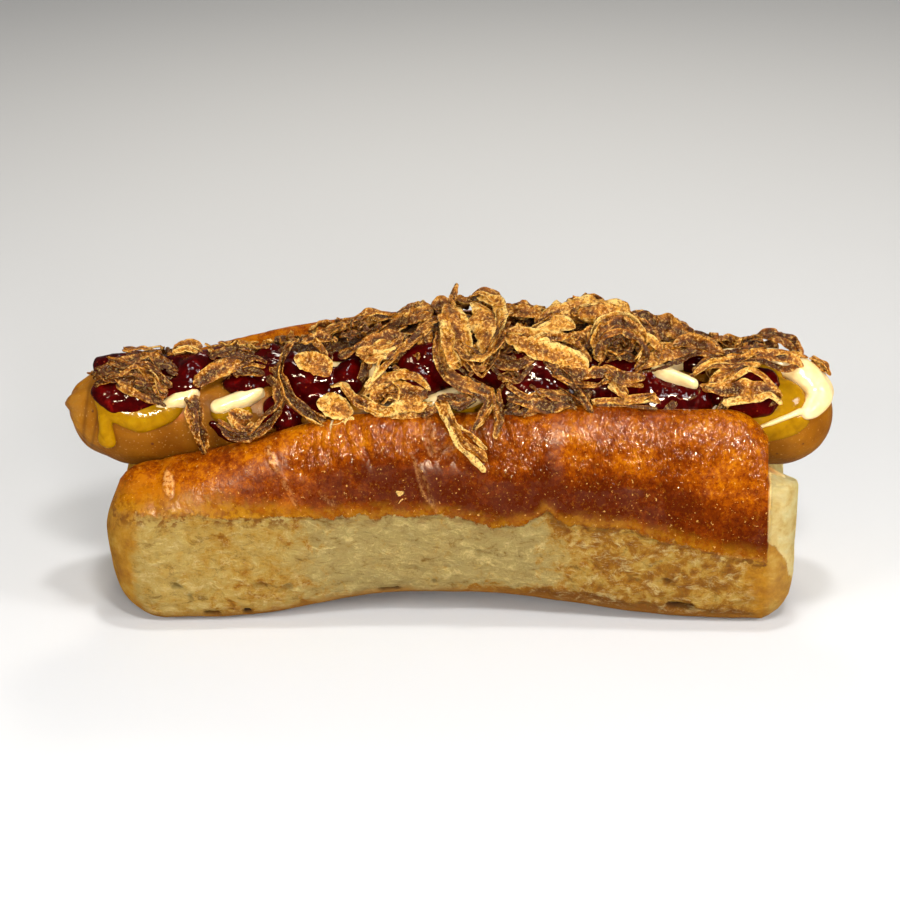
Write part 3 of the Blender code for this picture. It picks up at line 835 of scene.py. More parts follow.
def stroke(places):
    """A flattened tube that hugs the casing along a path: across it, the height is half an
    ellipse over a foot sunk a little into the casing, and both ends are round."""
    line = rounded_path(places)
    u, angle, half, height = (line / (1000, 1, 1000, 1000)).T
    ahead = np.gradient(u), np.radians(np.gradient(angle)) * SAUSAGE_RADIUS
    size = np.maximum(np.hypot(*ahead), 1e-9)
    along_u, along_a = ahead[0] / size, ahead[1] / size
    length = np.append(0, np.cumsum(np.hypot(np.diff(u), np.radians(np.diff(angle)) * SAUSAGE_RADIUS)))
    from_end = np.minimum(length, length[-1] - length)
    end = np.minimum(half, length[-1] / 2) + 1e-9
    taper = np.sqrt(np.clip(1 - (1 - np.clip(from_end / end, 0, 1)) ** 2, 0.0004, 1))
    a = np.linspace(0, 2 * math.pi, STROKE_ROUND, endpoint=False)[None, :]
    offset = (half * taper)[:, None] * np.cos(a)
    bulge = np.abs(np.sin(a))
    rise = np.where(np.sin(a) > 0, (height * np.sqrt(taper))[:, None] * bulge**0.8, -FOOT_DEPTH * bulge)
    place_u = u[:, None] - along_a[:, None] * offset
    place_a = angle[:, None] + np.degrees(along_u[:, None] * offset / SAUSAGE_RADIUS)
    return on_sausage(place_u, place_a, rise)


def wave_line(first, last, middle, swing, wavelength, start, half, height):
    """Places of a squeezed line whose angle swings from side to side."""
    u = np.arange(first, last, wavelength / 8)
    angle = middle + swing * np.sin(2 * math.pi * (u - start) / wavelength)
    return [(*p, half, height) for p in zip(u, angle)]


def joined(parts):
    """Points, faces, end faces and marks of many closed parts, each a grid of points with its
    own marks."""
    points, faces, caps, marks, first = [], [], [], {}, 0
    for grid, own in parts:
        steps, around = grid.shape[:2]
        faces.append(grid_faces(steps, around, first))
        ring = first + np.arange(around)
        caps += [ring[::-1], ring + (steps - 1) * around]
        points.append(grid.reshape(-1, 3))
        for key, values in own.items():
            marks.setdefault(key, []).append(values.reshape(-1))
        first += steps * around
    marks = {key: np.concatenate(values) for key, values in marks.items()}
    return np.concatenate(points), np.concatenate(faces), caps, marks


def melt(name, paths, finish, node, lumps, seed, grid=0.00040, smooth=6, lump_size=0.004):
    """One closed body from strokes along overlapping paths: remade in small cubes, then
    smoothed, and its surface raised and sunk by soft relief."""
    points, faces, caps, _ = joined([(stroke(places), {}) for places in paths])
    rough = make_piece(name + "_strokes", points, faces, finish, caps=caps)
    remade = rough.modifiers.new("one body", "REMESH")
    remade.mode = "VOXEL"
    remade.voxel_size = grid
    soft = rough.modifiers.new("soft", "SMOOTH")
    soft.factor, soft.iterations = 0.5, smooth
    graph = bpy.context.evaluated_depsgraph_get()
    mesh = bpy.data.meshes.new_from_object(rough.evaluated_get(graph))
    bpy.data.objects.remove(rough)
    mesh.name = name
    place = np.empty(len(mesh.vertices) * 3, np.float32)
    facing = place.copy()
    mesh.vertices.foreach_get("co", place)
    mesh.vertices.foreach_get("normal", facing)
    place, facing = place.reshape(-1, 3), facing.reshape(-1, 3)
    place = place + facing * (lumps * layered(place, lump_size, seed, 3))[:, None]
    mesh.vertices.foreach_set("co", place.astype(np.float32).reshape(-1))
    mesh.materials.clear()
    place_piece(mesh, finish, node)


def make_mustard():
    """The drip and scallop at the left, blobs along the front, a wave under the onions, and the
    pool at the right."""
    paths = [
        [(-82, -46, 1.6, 1.5), (-80.5, -66, 1.5, 1.5), (-80, -88, 1.6, 1.7), (-80, -106, 2.1, 2.3),
         (-80, -112, 1.6, 1.8)],
        [(-82, -52, 2.8, 1.8), (-78, -66, 3.2, 2.2), (-72, -73, 3.8, 2.6), (-66, -66, 3.2, 2.4),
         (-62, -58, 2.4, 2)],
        [(-79, -52, 3, 1.6), (-70, -54, 3.6, 1.8), (-60, -50, 3, 1.8)],
        [(-55.5, -66, 1.6, 2), (-52.5, -71, 2.3, 2.5), (-48.5, -70, 2.3, 2.4), (-45.5, -66, 1.6, 1.8)],
        [(0, -60, 2, 2), (4, -65, 2.4, 2.4), (9, -60, 1.8, 2)],
        [(63, -62, 2.6, 1.8), (66, -76, 1.9, 1.8)],
        wave_line(-52, 66, -14, 8, 22, -34, 2.2, 1.8),
        [(64, -44, 4, 2.2), (70, -52, 5.5, 2.6), (77, -56, 6, 2.6), (83, -50, 4, 2)],
        [(67, -70, 3.8, 2), (73, -80, 4.2, 2), (79, -78, 3.6, 1.8), (83, -68, 2.8, 1.5)],
        [(68, -88, 2.2, 1.4), (74, -92, 2.2, 1.3), (80, -86, 2, 1.2), (84, -76, 1.4, 1)],
        [(64, -20, 4, 2), (72, -26, 5, 2.4), (78, -34, 4, 2.2)],
    ]
    melt("mustard_line", paths, mustard_finish(), "mustard", lumps=0.00022, seed=101)


def make_mayonnaise():
    """Blobs at the left, streaks between the onions, and the broad turn round the right end."""
    paths = [
        [(-69, -64, 0.6, 2.2), (-65.5, -60, 1.4, 2.9), (-62, -54, 2.2, 3.2), (-58.5, -52, 2.3, 3.2)],
        [(-62, -51, 1.6, 3), (-58, -47, 1.5, 3.2)],
        [(-55.5, -64, 1.5, 3.2), (-52.5, -63, 2, 3.6), (-48, -57, 2.1, 3.8), (-44.5, -51, 1.5, 3.4),
         (-42.5, -48, 0.8, 3)],
        [(-18, -31, 1.8, 6.4), (-16.4, -37, 2, 6.8), (-14.2, -46, 2.2, 6.4), (-12.4, -52, 1.6, 5.4)],
        [(-7, -66, 1.4, 3.4), (-4, -63, 2.4, 4.2), (0, -58, 2.3, 4.2), (4, -52, 2, 3.4)],
        [(2, -64, 1.4, 3.6), (6, -60, 1.5, 3.8), (10, -52, 1.5, 3.4)],
        wave_line(-38, 60, -18, 8, 24, -20, 1.9, 2.8),
        [(47, -36, 1.2, 7.2), (52, -40, 1.5, 7.4), (58.5, -49, 1.2, 6.8)],
        [(-28.5, -84, 0.9, 6.6), (-26, -80, 1.5, 6.8), (-23, -76, 0.9, 6.4)],
        [(63, -4, 2.2, 3.4), (72, -6, 2.8, 4), (79, -12, 3.4, 4.2), (84.5, -26, 3.8, 3.8),
         (87, -42, 3.6, 3.4), (86, -56, 3.2, 3), (83.5, -68, 2.4, 2.8), (81.5, -74, 1.2, 2.5)],
        [(84, -4, 3.4, 3), (88, -20, 3, 2.6), (89.5, -42, 2.6, 2.2)],
        [(82, -66, 1, 2.9), (78.5, -73, 0.7, 2.9), (75, -79, 0.6, 2.8), (71, -85, 0.5, 2.5),
         (69, -84, 0.45, 2.2)],
        [(86, -40, 0.8, 3), (80, -22, 0.6, 4.2), (76, -18, 0.5, 3.4)],
    ]
    melt("mayonnaise_line", paths, mayonnaise_finish(), "mayonnaise", lumps=0.00018, seed=111)


def make_ketchup():
    """Pools along the top and the front, over two waves under the onions."""
    paths = [
        [(-83, -30, 3.4, 2.4), (-79, -14, 4.4, 3.2), (-74, -8, 4.6, 3.4), (-69, -12, 3.6, 2.8)],
        [(-83, -48, 2.6, 3), (-79, -54, 3.8, 4), (-73, -54, 4, 4.2), (-68, -50, 3.2, 3.2),
         (-64, -44, 2.2, 2.6)],
        [(-63, -40, 2.4, 3.2), (-60.5, -28, 3.4, 4.2), (-58, -14, 4, 4.2), (-56, -2, 3.2, 3.2)],
        [(-66, -42, 2.2, 3.2), (-62, -44, 2.4, 3.6), (-58, -42, 2, 3)],
        [(-53, -38, 2, 3), (-48, -42, 2.4, 3.2), (-43, -44, 2.6, 3.4)],
        [(-56, -76, 1.5, 1.2), (-53.5, -88, 1.9, 1.5), (-49, -95, 2, 1.6), (-44, -88, 1.9, 1.5),
         (-41, -78, 1.8, 1.6)],
        [(-43, -56, 3, 3.2), (-39, -68, 4, 3.6), (-36, -80, 4.2, 3.4), (-34.5, -88, 3, 2.6)],
        [(-38, -46, 3.4, 4), (-32, -52, 4.6, 4.4), (-27, -52, 4.4, 4.6), (-22, -48, 3.6, 4.2)],
        [(-27, -30, 3.6, 5), (-23, -36, 4.4, 5.8), (-20, -44, 3.8, 5)],
        [(-12, -28, 3.4, 6.4), (-8, -34, 5, 7.2), (-4, -42, 4.8, 6.6), (-1, -50, 3.4, 5)],
        [(10, -48, 3.4, 5), (15, -48, 5, 6.2), (21, -50, 6.2, 6.6), (27, -54, 5.6, 5.8), (32, -56, 4, 4.6)],
        [(31, -52, 3, 4.2), (36, -50, 3.4, 4.6), (41, -48, 3.2, 4.6)],
        [(40, -50, 3.6, 4.2), (46, -54, 4.8, 5), (52, -56, 5.2, 5.2), (58, -58, 4.4, 4.6),
         (63, -58, 3, 3.4)],
        [(63, -58, 3, 3.8), (69, -60, 3.6, 4.6), (74, -58, 3.4, 4.4), (77.5, -54, 2.4, 3.2)],
        [(64, -42, 3.2, 4.2), (70, -40, 4, 5), (75, -42, 3.6, 4.4), (77.5, -46, 2.4, 3.2)],
        [(-45.5, 0, 2, 3.6), (-42, 6, 2.6, 4.4), (-39.5, 2, 1.8, 3.6)],
        [(-12, -22, 3.4, 8), (-4, -26, 4, 9.2), (4, -30, 4, 9), (12, -32, 4.4, 8.4), (20, -34, 4.6, 7.8),
         (28, -34, 4.6, 8)],
        [(26, -34, 4.2, 8.4), (34, -36, 3.6, 7.4), (42, -36, 3.4, 6.2), (50, -36, 3.2, 5.2)],
        [(-52, -26, 3, 3.2), (-46, -20, 3.6, 3.4), (-40, -30, 3.6, 4), (-34, -36, 3.8, 5.2),
         (-26, -32, 3.6, 6.2)],
        wave_line(-70, 66, -4, 12, 26, -60, 4.2, 3.2),
        wave_line(-30, 66, 16, 12, 30, -60, 4.0, 3.0),
    ]
    melt("ketchup_pools", paths, ketchup_finish(), "ketchup", lumps=0.00130, seed=121,
         grid=0.00048, smooth=10, lump_size=0.0052)


def mustard_finish():
    """Deep glossy yellow with fine dark specks."""
    f = Finish("mustard", Roughness=0.12, Subsurface_Weight=0.20, Subsurface_Scale=0.002,
               Specular_IOR_Level=0.16, Subsurface_Radius=(1.0, 0.6, 0.1))
    tint = f.grain(330, 4, 0.6, 0.5)
    colour = f.blend(tint, (0.30, (0.23, 0.100, 0.0010)), (0.55, (0.31, 0.145, 0.0010)),
                     (0.80, (0.38, 0.200, 0.003)))
    colour = f.over(colour, (0.16, 0.07, 0.01), f.step(f.cells(520), 0.09, 0.05), 0.8)
    return f.finish(colour, None, f.bump(f.grain(420, 3), 0.00018))


def mayonnaise_finish():
    """Warm cream, lighter in soft patches."""
    f = Finish("mayonnaise", Roughness=0.20, Subsurface_Weight=0.30, Subsurface_Scale=0.003,
               Specular_IOR_Level=0.25, Subsurface_Radius=(1.0, 0.8, 0.4))
    tint = f.grain(260, 3, 0.5, 0.4)
    colour = f.blend(tint, (0.30, (0.74, 0.51, 0.20)), (0.60, (0.81, 0.60, 0.30)),
                     (0.85, (0.86, 0.69, 0.40)))
    return f.finish(colour, None, f.bump(f.grain(380, 3), 0.00015))


def ketchup_finish():
    """Dark glossy red that glows where it is thin, with seeds and pulp under the surface."""
    f = Finish("ketchup", Subsurface_Weight=0.10, Subsurface_Scale=0.0012,
               Specular_IOR_Level=0.11, Subsurface_Radius=(1.0, 0.12, 0.05))
    tint = f.grain(300, 4, 0.6, 0.8)
    colour = f.blend(tint, (0.34, (0.018, 0.0002, 0.0002)), (0.56, (0.048, 0.0003, 0.0003)),
                     (0.74, (0.13, 0.002, 0.001)))
    seeds = f.step(f.cells(600), 0.16, 0.08)
    colour = f.over(colour, (0.42, 0.06, 0.012), seeds, 0.35)
    height = f.sum(f.grain(520, 4, 0.55), f.times(seeds, 0.5))
    return f.finish(colour, f.step(tint, 0.3, 0.7, 0.05, 0.12), f.bump(height, 0.00012))


# ---------------------------------------------------------------- fried onions


def unit(v):
    """Each vector at a length of 1."""
    return v / np.maximum(np.linalg.norm(v, axis=-1, keepdims=True), 1e-9)


def leaf(places, tone, ruffle=0.5, cup=0.2, seed=1, steps=50, around=20, thick=0.5):
    """A crisp fried layer: a thin lens-shaped profile carried along a path over the casing.

    places are (u mm, angle, height mm, half width mm, tilt). A tilt turns the layer about its
    path. The sides wander in and out, and they rise and fall by ruffle (mm); cup bends them up
    by a share of the half width.
    """
    line = rounded_path(places, steps)
    u, angle, height, half, tilt = line.T
    path = on_sausage(u / 1000, angle, height / 1000)
    ahead = unit(np.gradient(path, axis=0))
    along = np.append(0, np.cumsum(np.linalg.norm(np.diff(path, axis=0), axis=1)))
    sway = noise(np.stack([along, 0 * along, 0 * along], -1), 0.0055, seed + 5)
    a, t = np.radians(angle), np.radians(tilt + 22 * sway)[:, None]
    out = np.stack([0 * a, np.sin(a), np.cos(a)], -1)
    side = unit(np.cross(ahead, out))
    up = np.cross(side, ahead)
    side, up = side * np.cos(t) - up * np.sin(t), up * np.cos(t) + side * np.sin(t)

    run = along[:, None]
    half = half[:, None] / 1000
    reach = half.max() * 0.7
    from_end = np.clip(np.minimum(run, run[-1] - run) / reach, 0, 1)
    taper = np.sqrt(np.clip(1 - (1 - from_end) ** 2, 0.003, 1))
    turn = np.linspace(0, 2 * math.pi, around, endpoint=False)[None, :]
    c = np.cos(turn)

    def key(*columns):
        return np.stack(np.broadcast_arrays(*columns), -1)

    edge_line = key(run, np.sign(c) * 0.006, 0.0 * c)
    bites = ramp(noise(edge_line, 0.0017, seed + 4), 0.25, 0.8)
    ragged = 1 + 0.55 * layered(edge_line, 0.0040, seed, 3) - 0.38 * bites
    wave = layered(key(run, c * 0.0020, 0.0 * c), 0.0034, seed + 1, 3)
    crumple = layered(key(run, c * half, 0.0 * c), 0.0026, seed + 2, 3)
    lift = cup * (1 + 1.2 * sway[:, None]) * half * c**2
    lift = lift + ruffle / 1000 * 1.6 * np.abs(c) ** 1.5 * wave
    lift = lift + 0.00062 * crumple * np.minimum(half / 0.0014, 1)
    skin = thick / 2000 * np.sqrt(taper) * np.sin(turn)
    world = path[:, None] + side[:, None] * (half * taper * c * ragged)[..., None]
    world = world + up[:, None] * (lift + skin)[..., None]

    # Nothing lies under the casing's surface
    offset = world - key(world[..., 0], 0.0, axis_height(world[..., 0]))
    over = np.abs(world[..., 0]) < SAUSAGE_LENGTH / 2 - SAUSAGE_END
    least = SAUSAGE_RADIUS + CLEARANCE + 0.5 * (skin + thick / 2000)
    near = np.where(over, np.maximum(least / np.maximum(np.linalg.norm(offset, axis=-1), 1e-6), 1), 1)
    world = world + offset * (near - 1)[..., None]
    which = lattice(np.array([[seed, 3, 5]]), 9)
    # Painted shade and light: the tone is darker in the crumple's hollows and lighter on its crests and
    # where the sides lift.
    marks = {
        "tone": tone - 0.42 * crumple - 0.15 * wave * np.abs(c),
        "edge": np.abs(c) + 0.0 * crumple,
        "which": which + 0.0 * crumple,
    }
    return world, marks


def join_leaves(name, leaves, finish, node=None):
    """One mesh of many closed leaves."""
    points, faces, caps, marks = joined(leaves)
    make_piece(name, points, faces, finish, node=node, caps=caps, marks=marks)


# Height of the heap over the casing (mm) at places along it (mm)
HEAP = ((-86, 1.2), (-74, 2.4), (-62, 3.2), (-48, 3.6), (-38, 5.5), (-28, 8), (-16, 9.6), (-6, 11.5),
        (2, 13.4), (11, 13.2), (19, 9.6), (27, 12.6), (36, 13.2), (45, 9.8),
        (56, 6.8), (66, 4.2), (74, 4.6), (84, 2.4))


def heap_height(u, angle=0.0):
    """Height of the onion heap over the casing, in mm: highest on top, lower down each side."""
    places, heights = np.array(HEAP, float).T
    tall = sum(np.interp(np.asarray(u, float) + shift, places, heights) for shift in (-2.5, 0, 2.5)) / 3
    angle = np.asarray(angle, float)
    return tall * (1 - 0.60 * ramp(-angle, 5, 62)) * (1 - 0.45 * ramp(angle, 25, 75))


# The layers that show: tone from pale 0 to dark 1, ruffle (mm), cup, and then the places of
# leaf's path
LAYERS = (
    (0.84, 0.9, 0.3, (-82, -40, 2.6, 1, 10), (-77, -26, 3.2, 2, 10), (-71, -19, 3.6, 2.2, 15),
     (-65.5, -27, 3.4, 1.8, 10), (-62.5, -35, 3, 1, 0)),
    (0.76, 0.9, 0.2, (-81.5, -48, 3, 0.9, 0), (-77, -40, 4.2, 1.8, 0), (-72, -44, 4.6, 1.8, 5),
     (-69, -53, 4.4, 1.4, 0), (-66, -59, 3.6, 0.8, 0)),
    (0.88, 0.9, 0.3, (-80, -34, 3, 1.2, 20), (-74, -33, 4, 1.6, 30), (-68, -38, 4, 1.4, 20),
     (-64, -47, 3.6, 0.9, 10)),
    (0.66, 0.8, 0.4, (-79, -22, 4, 0.5, 40), (-75, -30, 5, 0.9, 60), (-70, -28, 5, 0.8, 20),
     (-66.5, -38, 4.6, 0.5, -20)),
    (0.8, 0.8, 0.4, (-82, -36, 3.4, 0.5, -30), (-78, -44, 4.8, 0.8, 30), (-73, -40, 5.4, 0.9, 60),
     (-69, -46, 5, 0.5, 20)),
    (0.58, 0.7, 0.3, (-71, -34, 5.4, 0.5, 30), (-68, -44, 5.6, 0.8, 50), (-67, -54, 4.8, 0.5, 10)),
    (0.85, 0.8, 0.3, (-73, -47, 4.8, 1.2, -20), (-68, -50, 4.8, 1.3, -20), (-65, -54, 4, 1, 0)),
    (0.6, 0.3, 0.2, (-77, 4, 2.6, 0.8, 0), (-73, 8, 3, 1, 20), (-69, 2, 2.8, 0.7, 0)),
    (0.55, 0.4, 0.3, (-65, 2, 3, 1.2, 20), (-61.5, 10, 3.8, 1.6, 30), (-58.5, 4, 3.4, 1.1, 20)),
    (0.45, 0.3, 0.2, (-65, -8, 3.4, 0.8, 0), (-62, -4, 4, 1, 0), (-59, -10, 3.8, 0.8, 0)),
    (0.85, 0.4, 0.2, (-56, -16, 3.4, 1.2, 10), (-51, -8, 3.8, 1.7, 15), (-45.5, -10, 3.6, 1.3, 10)),
    (0.42, 0.5, 0.2, (-59, -46, 4, 1, 0), (-54.5, -36, 4.6, 1.9, 5), (-50, -29, 4.2, 2, 10),
     (-46.5, -28, 3.8, 1, 10)),
    (0.66, 0.5, 0.2, (-50, -36, 4, 1.2, 0), (-46, -34, 4.2, 1.8, 5), (-42.5, -37, 4, 1.2, 0)),
    (0.74, 0.3, 0.2, (-53.4, -76, 3.8, 0.8, -30), (-50.5, -87, 4.6, 1.2, -35), (-46, -90, 5, 1.3, -40),
     (-41.4, -80, 4.8, 1.3, -40), (-38.6, -64, 4.8, 1.4, -40), (-39, -49, 4.8, 1.4, -35),
     (-42, -40, 4.4, 1.1, -30)),
    (0.25, 0.3, -0.2, (-50.5, -68, 4.4, 1.2, 0), (-47.5, -74, 5, 1.9, 0), (-45, -72, 4.6, 1.2, 0)),
    (0.58, 0.5, 0.2, (-58.8, -54, 3.6, 1.2, 0), (-58, -70, 3.8, 1.9, 0), (-57.3, -86, 3.6, 1.8, 0),
     (-56.5, -104, 2.6, 1.1, 0)),
    (0.7, 0.4, 0.2, (-36, 0, 5.6, 1, 20), (-38, -20, 5.8, 1.2, 30), (-38.6, -38, 5.8, 1.4, 30),
     (-36.6, -57, 5.6, 1.4, 20), (-32, -70, 5.8, 1.3, 0), (-27.8, -75, 5.4, 1, 0)),
    (0.22, 0.7, 0.3, (-35, -30, 7.2, 1, 10), (-32, -34, 7.8, 2.6, 15), (-29, -38, 7.6, 2.8, 10),
     (-27, -44, 6.8, 1.2, 0)),
    (0.5, 0.5, 0.3, (-34, -14, 7, 1, 20), (-30, -10, 7.8, 1.6, 30), (-27, -14, 7.6, 1, 20)),
    (0.55, 0.5, -0.2, (-30, 14, 6, 1.2, 40), (-24, 15, 8.4, 2, 50), (-17.6, 16, 10.2, 2.2, 55),
     (-13, 14, 9.4, 1.4, 45)),
    (0.4, 0.4, -0.3, (-14, 10, 8.6, 1.2, 40), (-8.8, 12, 10.2, 2.8, 50), (-3.5, 12, 11.2, 2.2, 50)),
    (0.6, 0.4, 0.2, (-4, 14, 12, 1.2, 40), (-1.5, 15, 12.8, 1.6, 50), (1, 14, 12.4, 1.1, 40)),
    (0.4, 0.1, 0, (0.6, 6, 12.6, 0.8, 0), (1.3, 13, 14.6, 0.5, 0), (1.8, 18, 17.2, 0.6, 0)),
    (0.75, 0.4, 0.3, (5.5, 12, 13.6, 1, 40), (8.5, 15, 15.2, 1.6, 60), (11.5, 12, 14.2, 1.4, 50),
     (12.8, 4, 13, 0.8, 30)),
    (0.24, 0.7, -0.2, (0, 6, 13.4, 0.7, 0), (1, -8, 13.4, 2.6, 0), (2.2, -22, 12.2, 3.6, 0),
     (3.4, -33, 10.4, 2.6, 0), (4.4, -40, 8.6, 1, 0)),
    (0.26, 0.7, -0.2, (6.5, 4, 13.8, 1.6, 0), (8.5, -8, 13.6, 3.8, 0), (9.5, -20, 12.6, 4.2, 0),
     (9.5, -30, 11, 2.6, 0), (9, -36, 9.6, 1, 0)),
    (0.5, 0.4, 0.2, (14, -14, 12.8, 0.9, 40), (13.6, -24, 13.2, 1.2, 45), (12, -34, 13.2, 1.3, 45),
     (8.7, -41, 12.8, 1.3, 45), (4.6, -40, 12.4, 1.2, 40), (1.6, -32, 12.6, 0.9, 30)),
    (0.45, 0.4, 0.2, (-2, -16, 10.6, 0.9, 20), (-1.8, -30, 9.6, 1.4, 25), (-0.4, -42, 8.6, 1.5, 25),
     (3, -48.5, 7.6, 1.4, 15), (6.8, -54, 7.2, 1.3, 10), (10.6, -57, 6.8, 1, 0)),
    (0.4, 0.3, 0.2, (4.5, -38, 9.6, 0.8, 30), (6, -44, 9.4, 1, 60), (8.5, -43, 9.8, 0.9, 30),
     (9.4, -37, 10.2, 0.7, 0)),
    (0.36, 0.9, 0.2, (13.8, -20, 10.4, 1.2, 10), (17.5, -28, 10.6, 2.6, 10), (21.5, -32, 10.6, 2.8, 10),
     (26, -34, 10, 2.4, 10), (30, -37, 9.4, 2.2, 10), (32.7, -42, 8.4, 1.2, 0)),
    (0.24, 0.9, 0.3, (19.5, -20, 10.6, 1.2, 20), (23, -15, 11, 2.2, 30), (26.8, -11, 11.4, 2.4, 35),
     (30, -14, 10.8, 1.2, 20)),
    (0.78, 0.2, 0.1, (22.8, -34, 9.2, 0.8, 20), (27.5, -46, 8.8, 1.1, 30), (31.2, -59, 8, 1.1, 20),
     (33.4, -70, 7.6, 0.9, 0)),
    (0.48, 0.2, 0.1, (11, -55, 6.2, 0.7, 0), (9.2, -66, 7.5, 0.9, 0), (6.4, -80, 10.4, 0.8, 0)),
    (0.45, 0.2, 0.1, (11.5, -57, 6.6, 0.7, 0), (12.5, -74, 9.4, 0.9, 0), (11.5, -84, 10.9, 0.7, 0)),
    (0.38, 0.2, 0.1, (-2, -61, 6.2, 0.9, 0), (3, -83, 10.8, 1.6, 0), (9.6, -96, 12.4, 1.5, 0)),
    (0.3, 0.4, -0.3, (-19, -64, 5.6, 1, 0), (-15, -58, 6.6, 2.8, 0), (-10, -56, 7, 3.4, 0),
     (-6, -57, 6.6, 2.4, 0), (-4, -59, 5.8, 1, 0)),
    (0.5, 0.1, 0, (-14.5, -54, 7.6, 0.5, 60), (-12.5, -50, 7.8, 0.6, 60), (-10.4, -54, 7.8, 0.6, 60),
     (-10.6, -60, 7.6, 0.6, 60), (-13, -62, 7.4, 0.5, 60), (-14.8, -58, 7.4, 0.5, 60)),
    (0.42, 0.3, 0.2, (-25, -47, 5.4, 0.6, 0), (-20.5, -61, 6, 1.2, 10), (-14.4, -70, 6.2, 1.3, 15),
     (-9.2, -69, 6, 1.2, 10), (-3.5, -66, 5.8, 0.9, 0)),
    (-0.1, 0.4, 0.2, (-30, -62, 5, 1.2, 0), (-27, -64, 5.6, 2.8, 0), (-24, -68, 5.4, 2.6, 0),
     (-21.5, -70, 4.8, 1, 0)),
    (0.3, 0.2, 0.1, (-18.8, -53, 7.2, 0.6, 0), (-14.6, -40, 8.2, 0.8, 10), (-11, -30, 8.6, 0.6, 0)),
    (0.08, 0.5, 0.3, (-17.5, -26, 8.4, 1, 20), (-14.5, -24, 9.2, 2, 25), (-11.5, -25, 9, 1, 20)),
    (0.5, 0.5, 0.2, (-21.5, -24, 8, 1.2, 20), (-17, -19, 8.8, 2, 30), (-12.5, -17, 9.4, 1.8, 30),
     (-9, -22, 9.2, 1, 20)),
    (0.75, 0.4, 0.3, (-13, -30, 8.6, 0.9, 0), (-11, -24, 9.4, 1.5, 20), (-9.4, -16, 9.8, 1, 20)),
    (0.5, 0.2, 0.1, (-8.8, -24, 9.8, 0.7, 20), (-5.4, -14, 11, 1.1, 30), (-2.6, -5, 11.8, 0.8, 30)),
    (0.85, 0.3, 0.1, (-1.6, -59, 6.4, 0.8, 0), (2.4, -62, 7, 1.6, 0), (7, -60, 6.6, 1, 0)),
    (0.4, 0.5, -0.3, (21, 4, 9.6, 1.4, 40), (26.5, 6, 11.4, 3.2, 50), (33, 6, 12.2, 4, 50),
     (39, 4, 11.6, 3.6, 50), (43, 0, 10, 1.6, 40)),
    (0.28, 0.4, -0.3, (30, -4, 12.6, 1.2, 40), (35, -8, 13, 3, 45), (40, -10, 12, 3.4, 45),
     (44, -16, 10.4, 1.6, 30)),
    (0.62, 0.3, 0.1, (20.5, -2, 9.4, 1, 30), (25, 2, 11.2, 1.6, 40), (30, 6, 13, 1.4, 50)),
    (0.45, 0.3, 0.1, (33.8, -30, 10.6, 0.9, 50), (35.2, -18, 11.8, 1.3, 55), (40, -13, 12.4, 1.4, 60),
     (44.6, -18, 11.8, 1.3, 55), (46.2, -28, 10.6, 1.1, 50), (43.5, -37, 9.8, 1, 50)),
    (0.6, 0.3, 0.1, (36.6, -28, 10.8, 0.8, 60), (38.4, -22, 11.6, 1.1, 65), (42, -22, 11.6, 1.1, 65),
     (43, -30, 10.8, 1, 60), (39.8, -35, 10.2, 0.9, 60), (37.4, -31, 10.2, 0.7, 60)),
    (0.85, 0.2, 0.1, (38.6, -28, 10.4, 0.6, 70), (40.4, -25, 11, 0.8, 80), (41.4, -29, 10.6, 0.7, 70)),
    (0.6, 0.6, 0.3, (44, -22, 10.8, 1.2, 20), (47.5, -24, 10.6, 1.8, 20), (49.8, -30, 9.6, 1, 10)),
    (0.72, 0.5, 0.2, (42.5, -2, 10.6, 1.4, 40), (46, 0, 10.4, 2, 45), (49, -4, 9.6, 1.2, 40)),
    (0.66, 0.5, 0.2, (47.5, -2, 9, 1.2, 40), (51.5, -2, 9, 2.6, 45), (55.5, -8, 8, 1.8, 40),
     (57.5, -14, 7, 0.8, 30)),
    (0.56, 0.7, 0.3, (52.5, -22, 8, 1.2, 20), (56.5, -18, 8.2, 2.2, 25), (61, -20, 7.2, 1.8, 20),
     (64.5, -24, 6, 0.9, 10)),
    (0.62, 0.5, 0.1, (43.5, -40, 7.4, 0.9, 10), (47.5, -33, 7.8, 1.6, 15), (53, -27, 7.8, 1.7, 15),
     (59.5, -22, 6.8, 1.2, 10)),
    (0.72, 0.5, 0.2, (57, -40, 5.8, 0.9, 10), (62, -27, 6, 1.6, 15), (68, -17, 5.4, 1.7, 15),
     (74, -11, 5.2, 1.2, 10)),
    (0.68, 0.3, 0.1, (60, -34, 5.8, 0.8, 0), (66, -27, 5.6, 1.2, 10), (72, -25, 5.4, 1, 0)),
    (0.82, 0.3, 0.3, (72, 8, 5.2, 1.2, 30), (76, 10, 6, 1.8, 40), (79.5, 0, 5.6, 1.9, 30),
     (81, -18, 4.4, 1.3, 20)),
    (0.66, 0.3, 0.1, (67.5, -20, 5, 0.9, 10), (73, -22, 5.6, 1.5, 10), (78, -22, 5, 1.5, 10),
     (81.5, -26, 4, 0.9, 0)),
    (0.38, 0.9, 0.3, (59, -50, 5.6, 0.9, 0), (64.5, -55, 6.2, 1.4, 0), (69, -51, 6.6, 2, 0),
     (73.5, -52, 6.4, 1.8, 0), (77, -58, 5.2, 0.9, 0)),
    (0.48, 0.4, 0.2, (60.5, -49, 5.8, 0.9, 10), (64.8, -41, 6, 1.3, 15), (68.6, -35, 6, 0.8, 10)),
    (0.62, 0.5, 0.3, (12, 22, 11.2, 1.2, 40), (17, 16, 11.4, 1.9, 45), (22, 20, 11, 1.2, 40)),
    (0.45, 0.5, 0.2, (14, 6, 10.8, 1.2, 30), (18, 2, 11.4, 2, 40), (22, 6, 10.8, 1.2, 40)),
    (0.78, 0.6, 0.4, (9.5, -36, 9.6, 0.8, 20), (13, -41, 9.8, 1.3, 30), (17, -40, 9.4, 1.4, 20),
